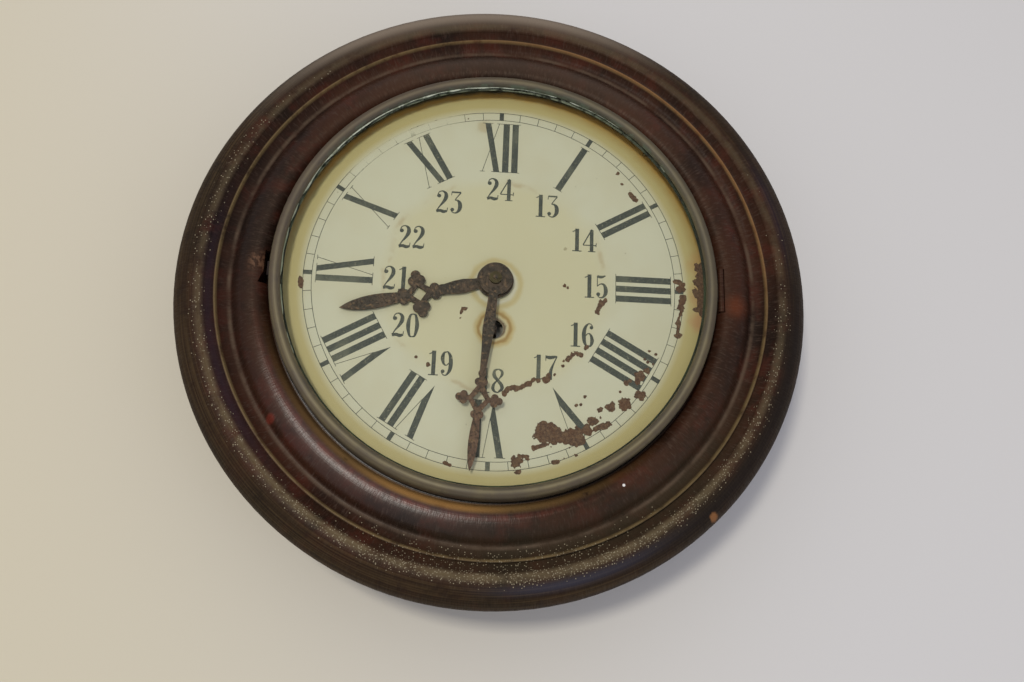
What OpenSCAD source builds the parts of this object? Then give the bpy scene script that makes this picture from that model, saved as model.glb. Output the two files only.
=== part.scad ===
// Round wall clock with a turned wooden surround, a hinged brass bezel and a spring driven movement.
// The wall plane is y = 0, the dial faces -Y and twelve is up (+Z). The origin lies on the dial's axis.
// Every piece is drawn looking at the dial: x to the right, y up, z out of the wall, and face_on() turns it.

/* [Surround] */
// Width of the turned moulding outside the bezel
surround_w = 47.2; // [45.5:0.1:49.5]
// Distance of the painted dial face from the wall
dial_z = 60; // [57:0.5:66]
// Depth of the surround's wood behind the dial face
surround_depth = 12; // [11:0.5:14]
// Width of the ledge that carries the dial
ledge_w = 8; // [6:0.5:12]
// Radius of the half round wall at the rim
rim_round_r = 11.5; // [10:0.5:12.5]
// Height of the rim's crest above the dial face
rim_h = 4.1; // [3.5:0.1:5]
// Width of the thin raised line
fillet_line_w = 1.6; // [1:0.1:2]
// Radius of the wide convex moulding's section
torus_r = 10.8; // [10:0.1:11.5]
// Height of the wide moulding above the dial face
torus_h = 6; // [5:0.1:7]

/* [Back case] */
// Overhang of the surround beyond the bent wood band behind it
surround_lap = 30; // [26:0.5:32]
// Thickness of the bent wood band
drum_wall = 6; // [5:0.5:8]
// Thickness of the back board
board_t = 7; // [6:0.5:9]
// Width of the two rails that carry the movement
rail_w = 12; // [10:0.5:14]
// Depth of the two rails
rail_d = 18; // [14:0.5:20]
// Leg of the glue blocks inside the band
glue_block = 9; // [7:0.5:12]
// Length of each glue block
glue_block_l = 26; // [18:1:34]
// Screws round the back board
back_screw_n = 6; // [4:1:8]
// Radius of the wood screws' shanks
wood_screw_r = 1.5; // [1.2:0.1:1.8]
// Radius of the hole in the hanger plate
hanger_hole_r = 4; // [3:0.1:5]
// Thickness of the hanger plate
hanger_t = 2; // [1.5:0.1:2.5]
// Width of the hanger plate
hanger_w = 24; // [20:0.5:28]

/* [Bezel and glass] */
// Outer radius of the brass bezel
bezel_r = 106.8; // [106.4:0.1:107]
// Width of the bezel from its lip, where the glass begins, to its outer edge
bezel_w = 5.7; // [5.4:0.1:6.2]
// Height of the bezel's crest above the dial face
bezel_h = 12.3; // [12:0.1:13]
// Thickness of the bezel's brass
bezel_t = 1.2; // [1:0.1:1.4]
// Thickness of the glass
glass_t = 1.8; // [1.5:0.1:2.2]
// Height of the hinge pin above the dial face
hinge_h = 4.6; // [4.4:0.1:5]
// Length of the hinge
hinge_l = 22; // [18:1:26]
// Length of the slot that takes the catch
catch_slot_l = 16.5; // [14:0.5:20]

/* [Dial and hands] */
// Thickness of the dial
dial_t = 0.6; // [0.4:0.1:1]
// Radius of the winding hole
winding_hole_r = 4.8; // [4:0.1:5.5]
// Gap between the minute hand's tip and the bezel's lip
minute_tip_gap = 7.1; // [4:0.1:12]
// Radius of the minute hand's hub
minute_hub_r = 8.2; // [7:0.1:8.6]
// Length of the hour hand as a share of the minute hand's
hour_share = 0.803; // [0.75:0.001:0.85]
// Radius of the hour hand's hub
hour_hub_r = 8.9; // [8:0.1:9.5]
// Thickness of the sheet steel of both hands
hand_t = 0.9; // [0.7:0.1:1]
// Angle of the minute hand, clockwise from twelve
minute_angle = 185.1; // [0:0.1:360]
// Angle of the hour hand, clockwise from twelve
hour_angle = 256.3; // [0:0.1:360]

/* [Movement] */
// Thickness of the brass plates
plate_t = 1.6; // [1.4:0.1:2]
// Distance between the plates
plate_gap = 24; // [24:0.1:25]
// Module of the barrel's teeth
barrel_m = 0.6; // [0.59:0.01:0.62]
// Module of the centre wheel's teeth
centre_m = 0.55; // [0.54:0.01:0.57]
// Module of the third wheel's teeth
third_m = 0.5; // [0.49:0.01:0.51]
// Module of the fourth wheel's teeth
fourth_m = 0.45; // [0.44:0.01:0.46]
// Radius of the spring barrel's drum
barrel_drum_r = 18.6; // [17:0.1:18.8]
// Turns of the mainspring
mainspring_turns = 9; // [6:1:10]
// Thickness of the mainspring's strip
mainspring_t = 0.45; // [0.3:0.05:0.5]
// Radius of the escape wheel
escape_r = 9.5; // [9:0.1:10]
// Outer radius of the balance wheel
balance_r = 13.5; // [12:0.1:14]
// Turns of the balance spring
hairspring_turns = 6; // [4:1:7]
// Thickness of the wheels
wheel_t = 1.2; // [1:0.1:1.4]

/* [Hidden] */
$fn = 96;

// Clearances
eps = 0.01;             // overshoot of a cutting shape past the face that it opens
fit = 0.05;             // radial clearance of a turning shaft in its hole
wood_gap = 0.2;         // clearance of a piece let into wood
end_shake = 0.2;        // axial play of an arbor between its shoulders
arm_gap = 0.3;          // clearance between two pieces that pass each other

// Colours
wood = "#3a2019";
raw_wood = "#8a6a44";
brass = "#b08d4a";
old_brass = "#6d6350";
steel = "#5c5650";
paint = "#cdc49b";
putty = "#a9a78f";

// Turned section of the surround, in radius and height
moulding = surround_w / 47.2;       // the section keeps its proportions at other widths
surround_r = bezel_r + surround_w;
lip_r = bezel_r - bezel_w;
dial_r = bezel_r - 0.2;
opening_r = dial_r - ledge_w;
ring_back_z = dial_z - surround_depth;
dial_ledge_z = dial_z - dial_t;
rebate_r = bezel_r + 0.4;
seat_z = dial_z + 1.5;
seat_r = rebate_r + 0.4;
torus_crest_r = bezel_r + 8.6 * moulding;
wide_r = torus_r * moulding;
wide_h = torus_h * moulding;
torus_flank_r = 7 * moulding;
torus_z = dial_z + wide_h;
rim_r = rim_round_r * moulding;
rim_rise = rim_h * moulding;
rim_c_r = surround_r - rim_r;
rim_c_z = dial_z + rim_rise - rim_r;
arris_r = bezel_r + 32.9 * moulding;
arris_round_r = 2.2 * moulding;
line_r = bezel_r + 25.9 * moulding;
line_w = fillet_line_w * moulding;
line_h = 3.1 * moulding;
rise_r = 6.4 * moulding;
sweep_r = 7 * moulding;
valley_r = 2 * moulding;
valley_z = dial_z - 0.6 * moulding;
torus_c_z = torus_z - wide_r;
valley_c_r = torus_crest_r + sqrt(pow(wide_r + valley_r, 2) - pow(valley_z + valley_r - torus_c_z, 2));
edge_round = 1.5;

// Case
drum_r = surround_r - surround_lap;
drum_in_r = drum_r - drum_wall;
back_screw_r = drum_r - drum_wall / 2;
screw_head_r = 2.9;
screw_head_h = 1.7;
screw_l = 19;
rail_y = 56;
rail_screw_x = sqrt(pow(drum_in_r, 2) - pow(rail_y + rail_w / 2, 2)) - 12.4;
rail_screw_bite = 8;
hanger_low_y = drum_r - 20;
hanger_hole_y = drum_r + 10;
hanger_screw_y = drum_r - 14;
hanger_screw_x = 7;

// Bezel
bezel_crest_z = dial_z + bezel_h;
bezel_low_z = dial_z + 0.4;
bead_r = bezel_w / 2;
glass_r = bezel_r - bezel_t - 0.2;
glass_top_z = bezel_crest_z - 2.3;
glass_z = glass_top_z - glass_t;
hinge_x = rebate_r + 2.5;
hinge_z = dial_z + hinge_h;
knuckle_r = 1.5;
hinge_pin_r = 0.7;
leaf_t = 0.8;
leaf_depth = 11;
knuckle_gap = 0.2;
slot_w = 2.7;
slot_in_r = bezel_r + 0.7;
slot_depth = 8;
catch_t = 0.8;
catch_w = 7;
catch_drop = 6.5;

// Dial and hands
centre_hole_r = 4.6;
dial_pin_at = dial_r - 2.4;
dial_pin_r = 0.6;
dial_pin_l = 5;
minute_l = lip_r - minute_tip_gap;
hour_l = minute_l * hour_share;
hour_hand_z = dial_z + 1.7;
minute_hand_z = dial_z + 4.4;
nut_r = 3;
nut_h = 1.3;

// Movement levels, from the wall
front_z = ring_back_z;
front_face_z = front_z + plate_t;
back_z = front_z - plate_gap;
back_face_z = back_z - plate_t;
barrel_z = back_z + 5.8;
barrel_h = 14.2;
barrel_teeth_t = 2;
barrel_wall = 1;
centre_z = front_z - 2.4;
third_z = back_z + 12;
fourth_z = back_z + 17;
escape_z = back_z + 3;

// Tooth counts
barrel_n = 68;
centre_pinion_n = 12;
centre_n = 64;
third_n = 60;
fourth_n = 64;
leaf_n = 8;
escape_n = 15;
cannon_n = 12;
minute_n = 36;
minute_pinion_n = 10;
hour_n = 40;
motion_m = 0.5;
ratchet_n = 24;
ratchet_r = 9;

// Pitch radii and centre distances
function pitch_r(n, m) = n * m / 2;
function polar(r, a) = [r * cos(a), r * sin(a)];
barrel_d = pitch_r(barrel_n + centre_pinion_n, barrel_m);
motion_d = pitch_r(cannon_n + minute_n, motion_m);
hour_m = 2 * motion_d / (minute_pinion_n + hour_n);
third_at = 150;
fourth_at = 60;
escape_at = 0;
lever_at = -44;
balance_at = -44;
winding_pos = [0, -barrel_d];
third_pos = polar(pitch_r(centre_n + leaf_n, centre_m), third_at);
fourth_pos = third_pos + polar(pitch_r(third_n + leaf_n, third_m), fourth_at);
escape_pos = fourth_pos + polar(pitch_r(fourth_n + leaf_n, fourth_m), escape_at);
pallet_half = 30;
lever_pos = escape_pos + polar(escape_r / cos(pallet_half), lever_at);
lever_l = 14;
roller_r = 3;
balance_pos = lever_pos + polar(lever_l + roller_r, balance_at);
minute_pos = [motion_d, 0];
click_d = 14.5;
click_at = 205;
click_pos = winding_pos + polar(click_d, click_at);
click_nose_w = 1.8;
click_side = ratchet_r + 0.15 + click_nose_w / 2;
click_arm_l = sqrt(click_d * click_d - click_side * click_side);
click_arm_at = click_at - 180 - asin(click_side / click_d);

// Plates and what stands on them
plate_left = -38;
plate_right = 47;
plate_top = 45;
plate_low = -49;
ear_y = 62;
plate_round = 6;
pillar_r = 2.6;
pillar_end_r = 1.5;
pillar_pos = [[-32, 39], [41, 39], [-32, -43], [41, -43]];
screw_pos = [for (x = [-30, 38], y = [-rail_y, rail_y]) [x, y]];
rail_screw_pos = [for (x = [-rail_screw_x, rail_screw_x], y = [-rail_y, rail_y]) [x, y]];
pivot_r = 0.6;
thin_r = 0.9;
centre_r = 1.5;
centre_shoulder_r = 2;
winding_r = 2.5;
winding_back_r = 1.5;
square_w = 3.6;
pipe_r = 2.4;
hour_pipe_in_r = pipe_r + 0.1;
hour_pipe_r = 3.6;
stud_r = 1.2;

// Balance, below the back plate
balance_z = back_face_z - 4.8;
balance_t = 2.2;
hairspring_z = balance_z - 2.4;
hairspring_h = 0.9;
cock_t = 2;
cock_z = hairspring_z - 1 - cock_t;
regulator_t = 0.9;
cock_foot = balance_pos + [3, -20];
cock_screw_gap = 4;
cock_at = atan2(cock_foot[1] - balance_pos[1], cock_foot[0] - balance_pos[0]);
boss_r = 3;
regulator_boss_r = 1.6;
hairspring_r = balance_r - 5;
hairspring_stud_r = 0.7;

module face_on() {
    rotate([90, 0, 0]) children();
}

module at(p, z = 0) {
    translate([p[0], p[1], z]) children();
}

// A straight cylinder from one height to another
module bar(r, low, high) {
    translate([0, 0, low]) cylinder(r = r, h = high - low);
}

// A round hole that opens both faces between two heights
module hole(r, low, high) {
    bar(r, low - eps, high + eps);
}

// Countersunk wood screw whose head is flush at height z and whose shank runs away from the wall
module wood_screw(z, l) {
    translate([0, 0, z]) difference() {
        union() {
            cylinder(r1 = screw_head_r, r2 = wood_screw_r, h = screw_head_h, $fn = 32);
            cylinder(r = wood_screw_r, h = l, $fn = 32);
        }
        translate([-screw_head_r, -0.35, -eps]) cube([2 * screw_head_r, 0.7, 0.7]);
    }
}

module screw_hole(z, l) {
    translate([0, 0, z - eps]) {
        cylinder(r1 = screw_head_r + fit, r2 = wood_screw_r + fit, h = screw_head_h, $fn = 32);
        cylinder(r = wood_screw_r + fit, h = l + 0.5, $fn = 32);
    }
}

// Slotted machine screw with a cheese head on the height z, pointing down to the wall
module machine_screw(r, head_r, head_h, z, l) {
    difference() {
        union() {
            bar(r, z - l, z, $fn = 32);
            bar(head_r, z, z + head_h, $fn = 32);
        }
        translate([-head_r - 1, -0.3, z + head_h * 0.5]) cube([2 * head_r + 2, 0.6, head_h]);
    }
}

// Outline of a wheel's teeth: radial flanks below the pitch circle and a pointed arch above it.
// Each row is a height above the pitch circle and the half thickness there, both in modules.
wheel_flank = [[-1.5, 0.785], [0, 0.785], [0.4, 0.729], [0.8, 0.547], [1.15, 0.2]];
leaf_flank = [[-1.65, 0.52], [0, 0.52], [0.35, 0.42], [0.62, 0.16]];
function flank_point(r, m, row, side) =
    let(pr = r + row[0] * m)
    let(half = row[0] < 0 ? row[1] * m / r : row[1] * m / pr)
    [pr, side * half * 180 / PI];
function tooth(r, m, flank) = concat(
    [for (row = flank) flank_point(r, m, row, -1)],
    [for (i = [len(flank) - 1:-1:0]) flank_point(r, m, flank[i], 1)]);
function gear_outline(n, m, flank, turn) =
    [for (i = [0:n - 1]) for (p = tooth(pitch_r(n, m), m, flank)) polar(p[0], turn + p[1] + i * 360 / n)];

module gear(n, m, flank, turn, t) {
    linear_extrude(t) polygon(gear_outline(n, m, flank, turn));
}

// Openings that leave a rim, a hub and straight arms
module crossings(rim_r, hub_r, arms, arm_w, t) {
    translate([0, 0, -eps]) linear_extrude(t + 2 * eps) difference() {
        circle(r = rim_r);
        circle(r = hub_r);
        for (i = [0:arms - 1]) rotate(i * 360 / arms) translate([0, -arm_w / 2]) square([rim_r + 1, arm_w]);
    }
}

module toothed_wheel(n, m, turn, t, bore_r, arms) {
    difference() {
        gear(n, m, wheel_flank, turn, t);
        crossings(pitch_r(n, m) - 3.4 * m, bore_r + 2.2, arms, 1.6, t);
        hole(bore_r, 0, t);
    }
}

// An arbor with a pivot at each end in the plates, and its pinion
module train_arbor(pos, pinion_m, turn, pinion_low, pinion_t) {
    at(pos) {
        bar(pivot_r, back_face_z, back_z + end_shake, $fn = 32);
        bar(thin_r, back_z + end_shake, front_z - end_shake, $fn = 32);
        bar(pivot_r, front_z - end_shake, front_face_z, $fn = 32);
        translate([0, 0, pinion_low]) gear(leaf_n, pinion_m, leaf_flank, turn, pinion_t);
    }
}

// Surround: one turned ring with a quarter round rim, a hollow, a thin line, a second hollow and a wide torus
// Fills the corner between the torus and the hollow beside it with a round of its own
module valley_fillet() {
    share = wide_r / (wide_r + valley_r);
    touch_r = torus_crest_r + (valley_c_r - torus_crest_r) * share;
    touch_z = torus_c_z + (valley_z + valley_r - torus_c_z) * share;
    difference() {
        polygon([[touch_r - 1, valley_z - 1], [valley_c_r, valley_z - 1], [valley_c_r, valley_z],
            [touch_r, touch_z], [touch_r - 1, touch_z]]);
        translate([valley_c_r, valley_z + valley_r]) circle(r = valley_r);
    }
}

module surround_section() {
    difference() {
        union() {
            polygon([[opening_r, ring_back_z], [surround_r - edge_round, ring_back_z],
                [surround_r, ring_back_z + edge_round], [surround_r, rim_c_z],
                [rim_c_r, rim_c_z + rim_r - 0.4], [arris_r, dial_z + rim_rise - 1],
                [line_r + line_w / 2, dial_z + line_h],
                [line_r - line_w / 2, dial_z + line_h],
                [valley_c_r, valley_z], [torus_crest_r, valley_z],
                [seat_r, seat_z], [rebate_r, seat_z], [rebate_r, dial_ledge_z], [opening_r, dial_ledge_z]]);
            intersection() {
                translate([rim_c_r, rim_c_z]) circle(r = rim_r);
                translate([arris_r, ring_back_z + edge_round]) square([surround_r, surround_depth * 2]);
            }
            translate([arris_r, dial_z + rim_rise - arris_round_r + 0.3]) circle(r = arris_round_r);
            intersection() {
                translate([torus_crest_r, torus_c_z]) circle(r = wide_r);
                translate([seat_r + torus_flank_r, ring_back_z + 1])
                    square([wide_r * 2, surround_depth * 2]);
            }
            translate([seat_r + torus_flank_r, torus_z - torus_flank_r]) circle(r = torus_flank_r);
            translate([seat_r + torus_flank_r, dial_z - 2])
                square([torus_crest_r - seat_r - torus_flank_r, wide_h + 2]);
            valley_fillet();
        }
        translate([line_r + line_w / 2, dial_z + 6.9 * moulding]) intersection() {
            translate([-moulding, 0]) circle(r = rise_r);
            translate([0, -rise_r]) square([rise_r, rise_r * 2]);
        }
        translate([valley_c_r, valley_z + sweep_r]) intersection() {
            circle(r = sweep_r);
            translate([0, -sweep_r]) square([sweep_r, sweep_r * 2]);
        }
    }
}

// Mortise for the catch, a narrow upright slot with a wider foot
module catch_slot() {
    translate([-slot_in_r - slot_w, -catch_slot_l / 2, seat_z - slot_depth])
        cube([slot_w, catch_slot_l, wide_h + slot_depth]);
    translate([0, 0, seat_z - slot_depth]) linear_extrude(wide_h + slot_depth)
        polygon([[-slot_in_r, -catch_slot_l / 2], [-slot_in_r - slot_w - 2, -catch_slot_l / 2],
            [-slot_in_r - slot_w, -catch_slot_l / 2 + 6], [-slot_in_r, -catch_slot_l / 2 + 6]]);
}

module hinge_mortise() {
    translate([rebate_r - 0.5, -hinge_l / 2 - wood_gap, seat_z - 0.5])
        cube([hinge_x + knuckle_r + wood_gap - rebate_r + 0.5, hinge_l + 2 * wood_gap, 12]);
    translate([hinge_x - leaf_t / 2 - wood_gap, -hinge_l / 2 - wood_gap, hinge_z - leaf_depth - wood_gap])
        cube([leaf_t + 2 * wood_gap, hinge_l + 2 * wood_gap, leaf_depth]);
}

module surround() {
    color(wood) face_on() difference() {
        rotate_extrude($fn = 180) surround_section();
        catch_slot();
        hinge_mortise();
        for (p = rail_screw_pos) at(p, ring_back_z - eps)
            cylinder(r = wood_screw_r + fit, h = rail_screw_bite + 0.5, $fn = 32);
        for (i = [0:3]) at(polar(dial_pin_at, 45 + 90 * i), dial_ledge_z - dial_pin_l)
            cylinder(r = dial_pin_r + fit, h = dial_pin_l + 1, $fn = 24);
    }
}

// Back case
module drum() {
    color(wood) face_on() difference() {
        bar(drum_r, board_t, ring_back_z, $fn = 180);
        hole(drum_in_r, board_t, ring_back_z, $fn = 180);
        for (i = [0:back_screw_n - 1]) at(polar(back_screw_r, i * 360 / back_screw_n)) screw_hole(0, screw_l);
    }
}

module glue_blocks() {
    leg = glue_block;
    color(raw_wood) face_on() for (a = [60, 90, 120, 240, 270, 300]) intersection() {
        rotate(a) translate([drum_in_r - leg, 0, ring_back_z - leg]) rotate([90, 0, 0])
            translate([0, 0, -glue_block_l / 2]) linear_extrude(glue_block_l)
                polygon([[0, leg], [leg + 1, leg], [leg + 1, 0], [leg - 2, 0], [0, leg - 2]]);
        bar(drum_in_r - eps, ring_back_z - leg - 1, ring_back_z + 1, $fn = 180);
    }
}

module back_board() {
    color(raw_wood) face_on() difference() {
        union() {
            translate([0, 0, edge_round]) bar(drum_r, 0, board_t - edge_round, $fn = 180);
            cylinder(r1 = drum_r - edge_round, r2 = drum_r, h = edge_round, $fn = 180);
        }
        for (i = [0:back_screw_n - 1]) at(polar(back_screw_r, i * 360 / back_screw_n)) screw_hole(0, screw_l);
        translate([-hanger_w / 2 - wood_gap, hanger_low_y - wood_gap, -eps])
            cube([hanger_w + 2 * wood_gap, drum_r, hanger_t + eps]);
        for (s = [-1, 1]) at([s * hanger_screw_x, hanger_screw_y])
            bar(wood_screw_r + fit, 0, board_t + eps, $fn = 32);
    }
}

module back_screws() {
    color(steel) face_on() for (i = [0:back_screw_n - 1])
        at(polar(back_screw_r, i * 360 / back_screw_n)) wood_screw(0, screw_l);
}

// Hanger: a steel plate let into the back board, with a round top that reaches above the case
module hanger() {
    top_r = hanger_w / 2;
    color(steel) face_on() difference() {
        linear_extrude(hanger_t) union() {
            translate([-top_r, hanger_low_y]) square([hanger_w, hanger_hole_y - hanger_low_y]);
            translate([0, hanger_hole_y]) circle(r = top_r);
        }
        at([0, hanger_hole_y]) hole(hanger_hole_r, 0, hanger_t);
        for (s = [-1, 1]) at([s * hanger_screw_x, hanger_screw_y]) screw_hole(0, screw_l);
    }
}

module hanger_screws() {
    color(steel) face_on() for (s = [-1, 1])
        at([s * hanger_screw_x, hanger_screw_y]) wood_screw(0, board_t - 0.5);
}

// Rails across the case, cut to the inside of the bent wood band
module rail(side) {
    difference() {
        intersection() {
            translate([-drum_in_r, side * rail_y - rail_w / 2, ring_back_z - rail_d])
                cube([2 * drum_in_r, rail_w, rail_d]);
            bar(drum_in_r - fit, 0, ring_back_z + 1, $fn = 180);
        }
        for (x = [-rail_screw_x, rail_screw_x]) at([x, side * rail_y])
            screw_hole(ring_back_z - rail_d, rail_d);
        for (p = screw_pos) at(p, ring_back_z - 10) cylinder(r = 1.2 + fit, h = 11, $fn = 32);
    }
}

module upper_rail() {
    color(raw_wood) face_on() rail(1);
}

module lower_rail() {
    color(raw_wood) face_on() rail(-1);
}

module rail_screws() {
    color(steel) face_on() for (p = rail_screw_pos)
        at(p) wood_screw(ring_back_z - rail_d, rail_d + rail_screw_bite);
}

// Dial: thin painted tin on the surround's ledge
module dial() {
    color(paint) face_on() difference() {
        bar(dial_r, dial_ledge_z, dial_z, $fn = 180);
        hole(centre_hole_r, dial_ledge_z, dial_z);
        at(winding_pos) hole(winding_hole_r, dial_ledge_z, dial_z);
        for (i = [0:3]) at(polar(dial_pin_at, 45 + 90 * i))
            hole(dial_pin_r + fit, dial_ledge_z, dial_z, $fn = 24);
    }
}

module dial_pins() {
    color(brass) face_on() for (i = [0:3]) at(polar(dial_pin_at, 45 + 90 * i)) {
        bar(dial_pin_r, dial_z - dial_pin_l, dial_z + dial_pin_r / 2, $fn = 24);
        difference() {
            translate([0, 0, dial_z - dial_pin_r / 3]) sphere(r = 2 * dial_pin_r, $fn = 24);
            bar(3 * dial_pin_r, dial_z - dial_pin_l, dial_z);
        }
    }
}

// Bezel: a spun brass ring, a half round bead over the glass's edge with a skirt that sits in the rebate
module bezel_section() {
    skirt_r = bezel_r - bezel_t;
    difference() {
        union() {
            translate([bezel_r - bead_r, bezel_crest_z - bead_r]) circle(r = bead_r);
            translate([skirt_r, bezel_low_z]) square([bezel_t, bezel_crest_z - bead_r - bezel_low_z]);
        }
        translate([lip_r - 1, bezel_low_z - 1])
            square([skirt_r - lip_r + 1, glass_top_z - bezel_low_z + 1]);
    }
}

module bezel() {
    color(old_brass) face_on() rotate_extrude($fn = 180) bezel_section();
}

module glass() {
    color([0.85, 0.9, 0.88, 0.35]) face_on() bar(glass_r, glass_z, glass_top_z, $fn = 180);
}

// Bead of putty that holds the glass up against the lip
module glass_putty() {
    color(putty) face_on() rotate_extrude($fn = 180)
        polygon([[glass_r + 0.15, glass_z], [glass_r + 0.15, glass_z - 3.2], [lip_r - 0.8, glass_z]]);
}

// Hinge: the bezel's leaf has the middle knuckle, the case leaf has the outer two
module knuckle(low, high) {
    translate([hinge_x, low, hinge_z]) rotate([-90, 0, 0]) difference() {
        cylinder(r = knuckle_r, h = high - low, $fn = 32);
        translate([0, 0, -eps]) cylinder(r = hinge_pin_r + fit, h = high - low + 2 * eps, $fn = 32);
    }
}

module bezel_hinge_leaf() {
    third = hinge_l / 3;
    color(old_brass) face_on() {
        knuckle(-third / 2 + knuckle_gap, third / 2 - knuckle_gap);
        difference() {
            translate([0, 0, hinge_z - leaf_t / 2]) linear_extrude(leaf_t)
                translate([bezel_r - 1, -third / 2 + knuckle_gap])
                    square([hinge_x - knuckle_r + 1.3 - bezel_r, third - 2 * knuckle_gap]);
            bar(bezel_r + 0.02, 0, bezel_crest_z, $fn = 180);
        }
        intersection() {
            difference() {
                bar(bezel_r + 0.02 + leaf_t, hinge_z - 1.2, hinge_z + 3.2, $fn = 180);
                hole(bezel_r + 0.02, hinge_z - 1.2, hinge_z + 4, $fn = 180);
            }
            translate([bezel_r - 4, -third * 0.9, 0]) cube([8, third * 1.8, bezel_crest_z]);
        }
    }
}

module case_hinge_leaf() {
    third = hinge_l / 3;
    color(old_brass) face_on() {
        knuckle(-hinge_l / 2, -third / 2);
        knuckle(third / 2, hinge_l / 2);
        difference() {
            translate([hinge_x - leaf_t / 2, -hinge_l / 2, hinge_z - leaf_depth])
                cube([leaf_t, hinge_l, leaf_depth - knuckle_r + 0.2]);
            translate([hinge_x - 2, -third / 2, hinge_z - knuckle_r - 0.5]) cube([4, third, 3]);
        }
    }
}

module hinge_pin() {
    color(steel) face_on() translate([hinge_x, -hinge_l / 2 - 0.1, hinge_z]) rotate([-90, 0, 0])
        cylinder(r = hinge_pin_r, h = hinge_l + 0.2, $fn = 32);
}

// Spring catch at nine o'clock: a foot on the bezel and a bent tongue that grips in the slot
module bezel_catch() {
    tongue_x = slot_in_r + 0.7;
    foot_z = seat_z + 0.4;
    color(old_brass) face_on() {
        difference() {
            translate([-tongue_x - catch_t, -catch_w / 2, foot_z]) cube([5, catch_w, catch_t]);
            bar(bezel_r + 0.02, 0, bezel_crest_z, $fn = 180);
        }
        translate([0, catch_w / 2, 0]) rotate([90, 0, 0]) linear_extrude(catch_w)
            translate([-tongue_x, foot_z]) polygon([[0, catch_t], [-catch_t, catch_t],
                [-catch_t, -catch_drop * 0.45], [-catch_t - 0.5, -catch_drop * 0.6],
                [-catch_t, -catch_drop], [0, -catch_drop]]);
    }
}

// Hands: sheet steel, drawn pointing up
// Half width of a leaf that swells from its foot and ends in a point: shares of its length and width
leaf_shape = [[0, 0.55], [0.15, 0.72], [0.35, 0.95], [0.5, 1], [0.65, 0.92], [0.8, 0.68], [0.9, 0.4], [1, 0]];
module leaf(low, high, half_w) {
    last = len(leaf_shape) - 1;
    function edge(i, side) = [side * half_w * leaf_shape[i][1], low + (high - low) * leaf_shape[i][0]];
    polygon(concat([for (i = [0:last]) edge(i, 1)], [for (i = [last - 1:-1:0]) edge(i, -1)]));
}

// Pierced cross: two knots, a diamond opening and two arms that end in three lobes each
module pierced_cross(low_knot, middle, high_knot, reach, open_w, open_h, ball_r) {
    arm = 1.5;
    for (s = [-1, 1]) {
        translate([s * ball_r * 0.75, low_knot]) circle(r = ball_r, $fn = 32);
        translate([s * ball_r * 0.75, high_knot]) circle(r = ball_r, $fn = 32);
        translate([s * (reach - ball_r * 1.2), middle + ball_r * 0.8]) circle(r = ball_r, $fn = 32);
        translate([s * (reach - ball_r * 1.2), middle - ball_r * 0.8]) circle(r = ball_r, $fn = 32);
        translate([s * reach, middle]) circle(r = ball_r, $fn = 32);
    }
    difference() {
        for (s = [0, 1]) mirror([s, 0]) polygon([[-0.1, low_knot - ball_r * 0.5],
            [open_w + arm * 1.2, middle - arm * 0.8], [reach - 1, middle - arm * 0.6],
            [reach - 1, middle + arm * 0.6], [open_w + arm * 1.2, middle + arm * 0.8],
            [-0.1, high_knot + ball_r * 0.5]]);
        polygon([[0, middle - open_h], [open_w, middle], [0, middle + open_h], [-open_w, middle]]);
    }
}

module minute_outline() {
    m = minute_l / 94;
    circle(r = minute_hub_r);
    polygon(m * [[-2.2, 0], [2.2, 0], [2.3, 14], [2.8, 22], [2.8, 27], [2.1, 35], [1.5, 45], [1.2, 51],
        [-1.2, 51], [-1.5, 45], [-2.1, 35], [-2.8, 27], [-2.8, 22], [-2.3, 14]]);
    translate([0, 47.6 * m]) circle(r = 1.9 * m, $fn = 32);
    pierced_cross(51.8 * m, 60 * m, 67.4 * m, 9.3 * m, 2.9 * m, 3.9 * m, 1.75 * m);
    leaf(66 * m, minute_l, 2.3 * m);
}

module hour_outline() {
    m = hour_l / 75.5;
    circle(r = hour_hub_r);
    polygon(m * [[-2.3, 0], [2.3, 0], [2.7, 10], [3.5, 15], [3.4, 19], [2.5, 25], [1.8, 30],
        [-1.8, 30], [-2.5, 25], [-3.4, 19], [-3.5, 15], [-2.7, 10]]);
    translate([0, 25.8 * m]) circle(r = 2.7 * m, $fn = 32);
    pierced_cross(29.4 * m, 37.2 * m, 45 * m, 9.6 * m, 3.7 * m, 3.7 * m, 2.35 * m);
    leaf(43 * m, hour_l, 3.5 * m);
}

module minute_hand() {
    color(steel) face_on() rotate(-minute_angle) difference() {
        union() {
            translate([0, 0, minute_hand_z]) linear_extrude(hand_t) minute_outline();
            bar(minute_hub_r - 2.2, minute_hand_z, minute_hand_z + hand_t + 0.25, $fn = 64);
        }
        hole(centre_r + fit, minute_hand_z - 1, minute_hand_z + 2, $fn = 48);
    }
}

module hour_hand() {
    color(steel) face_on() rotate(-hour_angle) difference() {
        union() {
            translate([0, 0, hour_hand_z]) linear_extrude(hand_t) hour_outline();
            bar(hour_pipe_r + 1.4, hour_hand_z - 0.9, hour_hand_z + hand_t, $fn = 64);
        }
        hole(hour_pipe_r + 0.02, hour_hand_z - 1, hour_hand_z + 2, $fn = 48);
    }
}

// Round nut on the end of the centre arbor
module hand_nut() {
    low = minute_hand_z + hand_t + 0.4;
    color(steel) face_on() difference() {
        bar(nut_r, low, low + nut_h, $fn = 48);
        hole(centre_r - 0.4 + 0.02, low, low + nut_h, $fn = 32);
    }
}

// Plates
module plate_outline(low, high) {
    x0 = plate_left + plate_round;
    x1 = plate_right - plate_round;
    translate([x0, low]) square([x1 - x0, high - low]);
    translate([plate_left, low + plate_round])
        square([plate_right - plate_left, high - low - 2 * plate_round]);
    for (x = [x0, x1], y = [low + plate_round, high - plate_round]) translate([x, y]) circle(r = plate_round);
}

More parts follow.
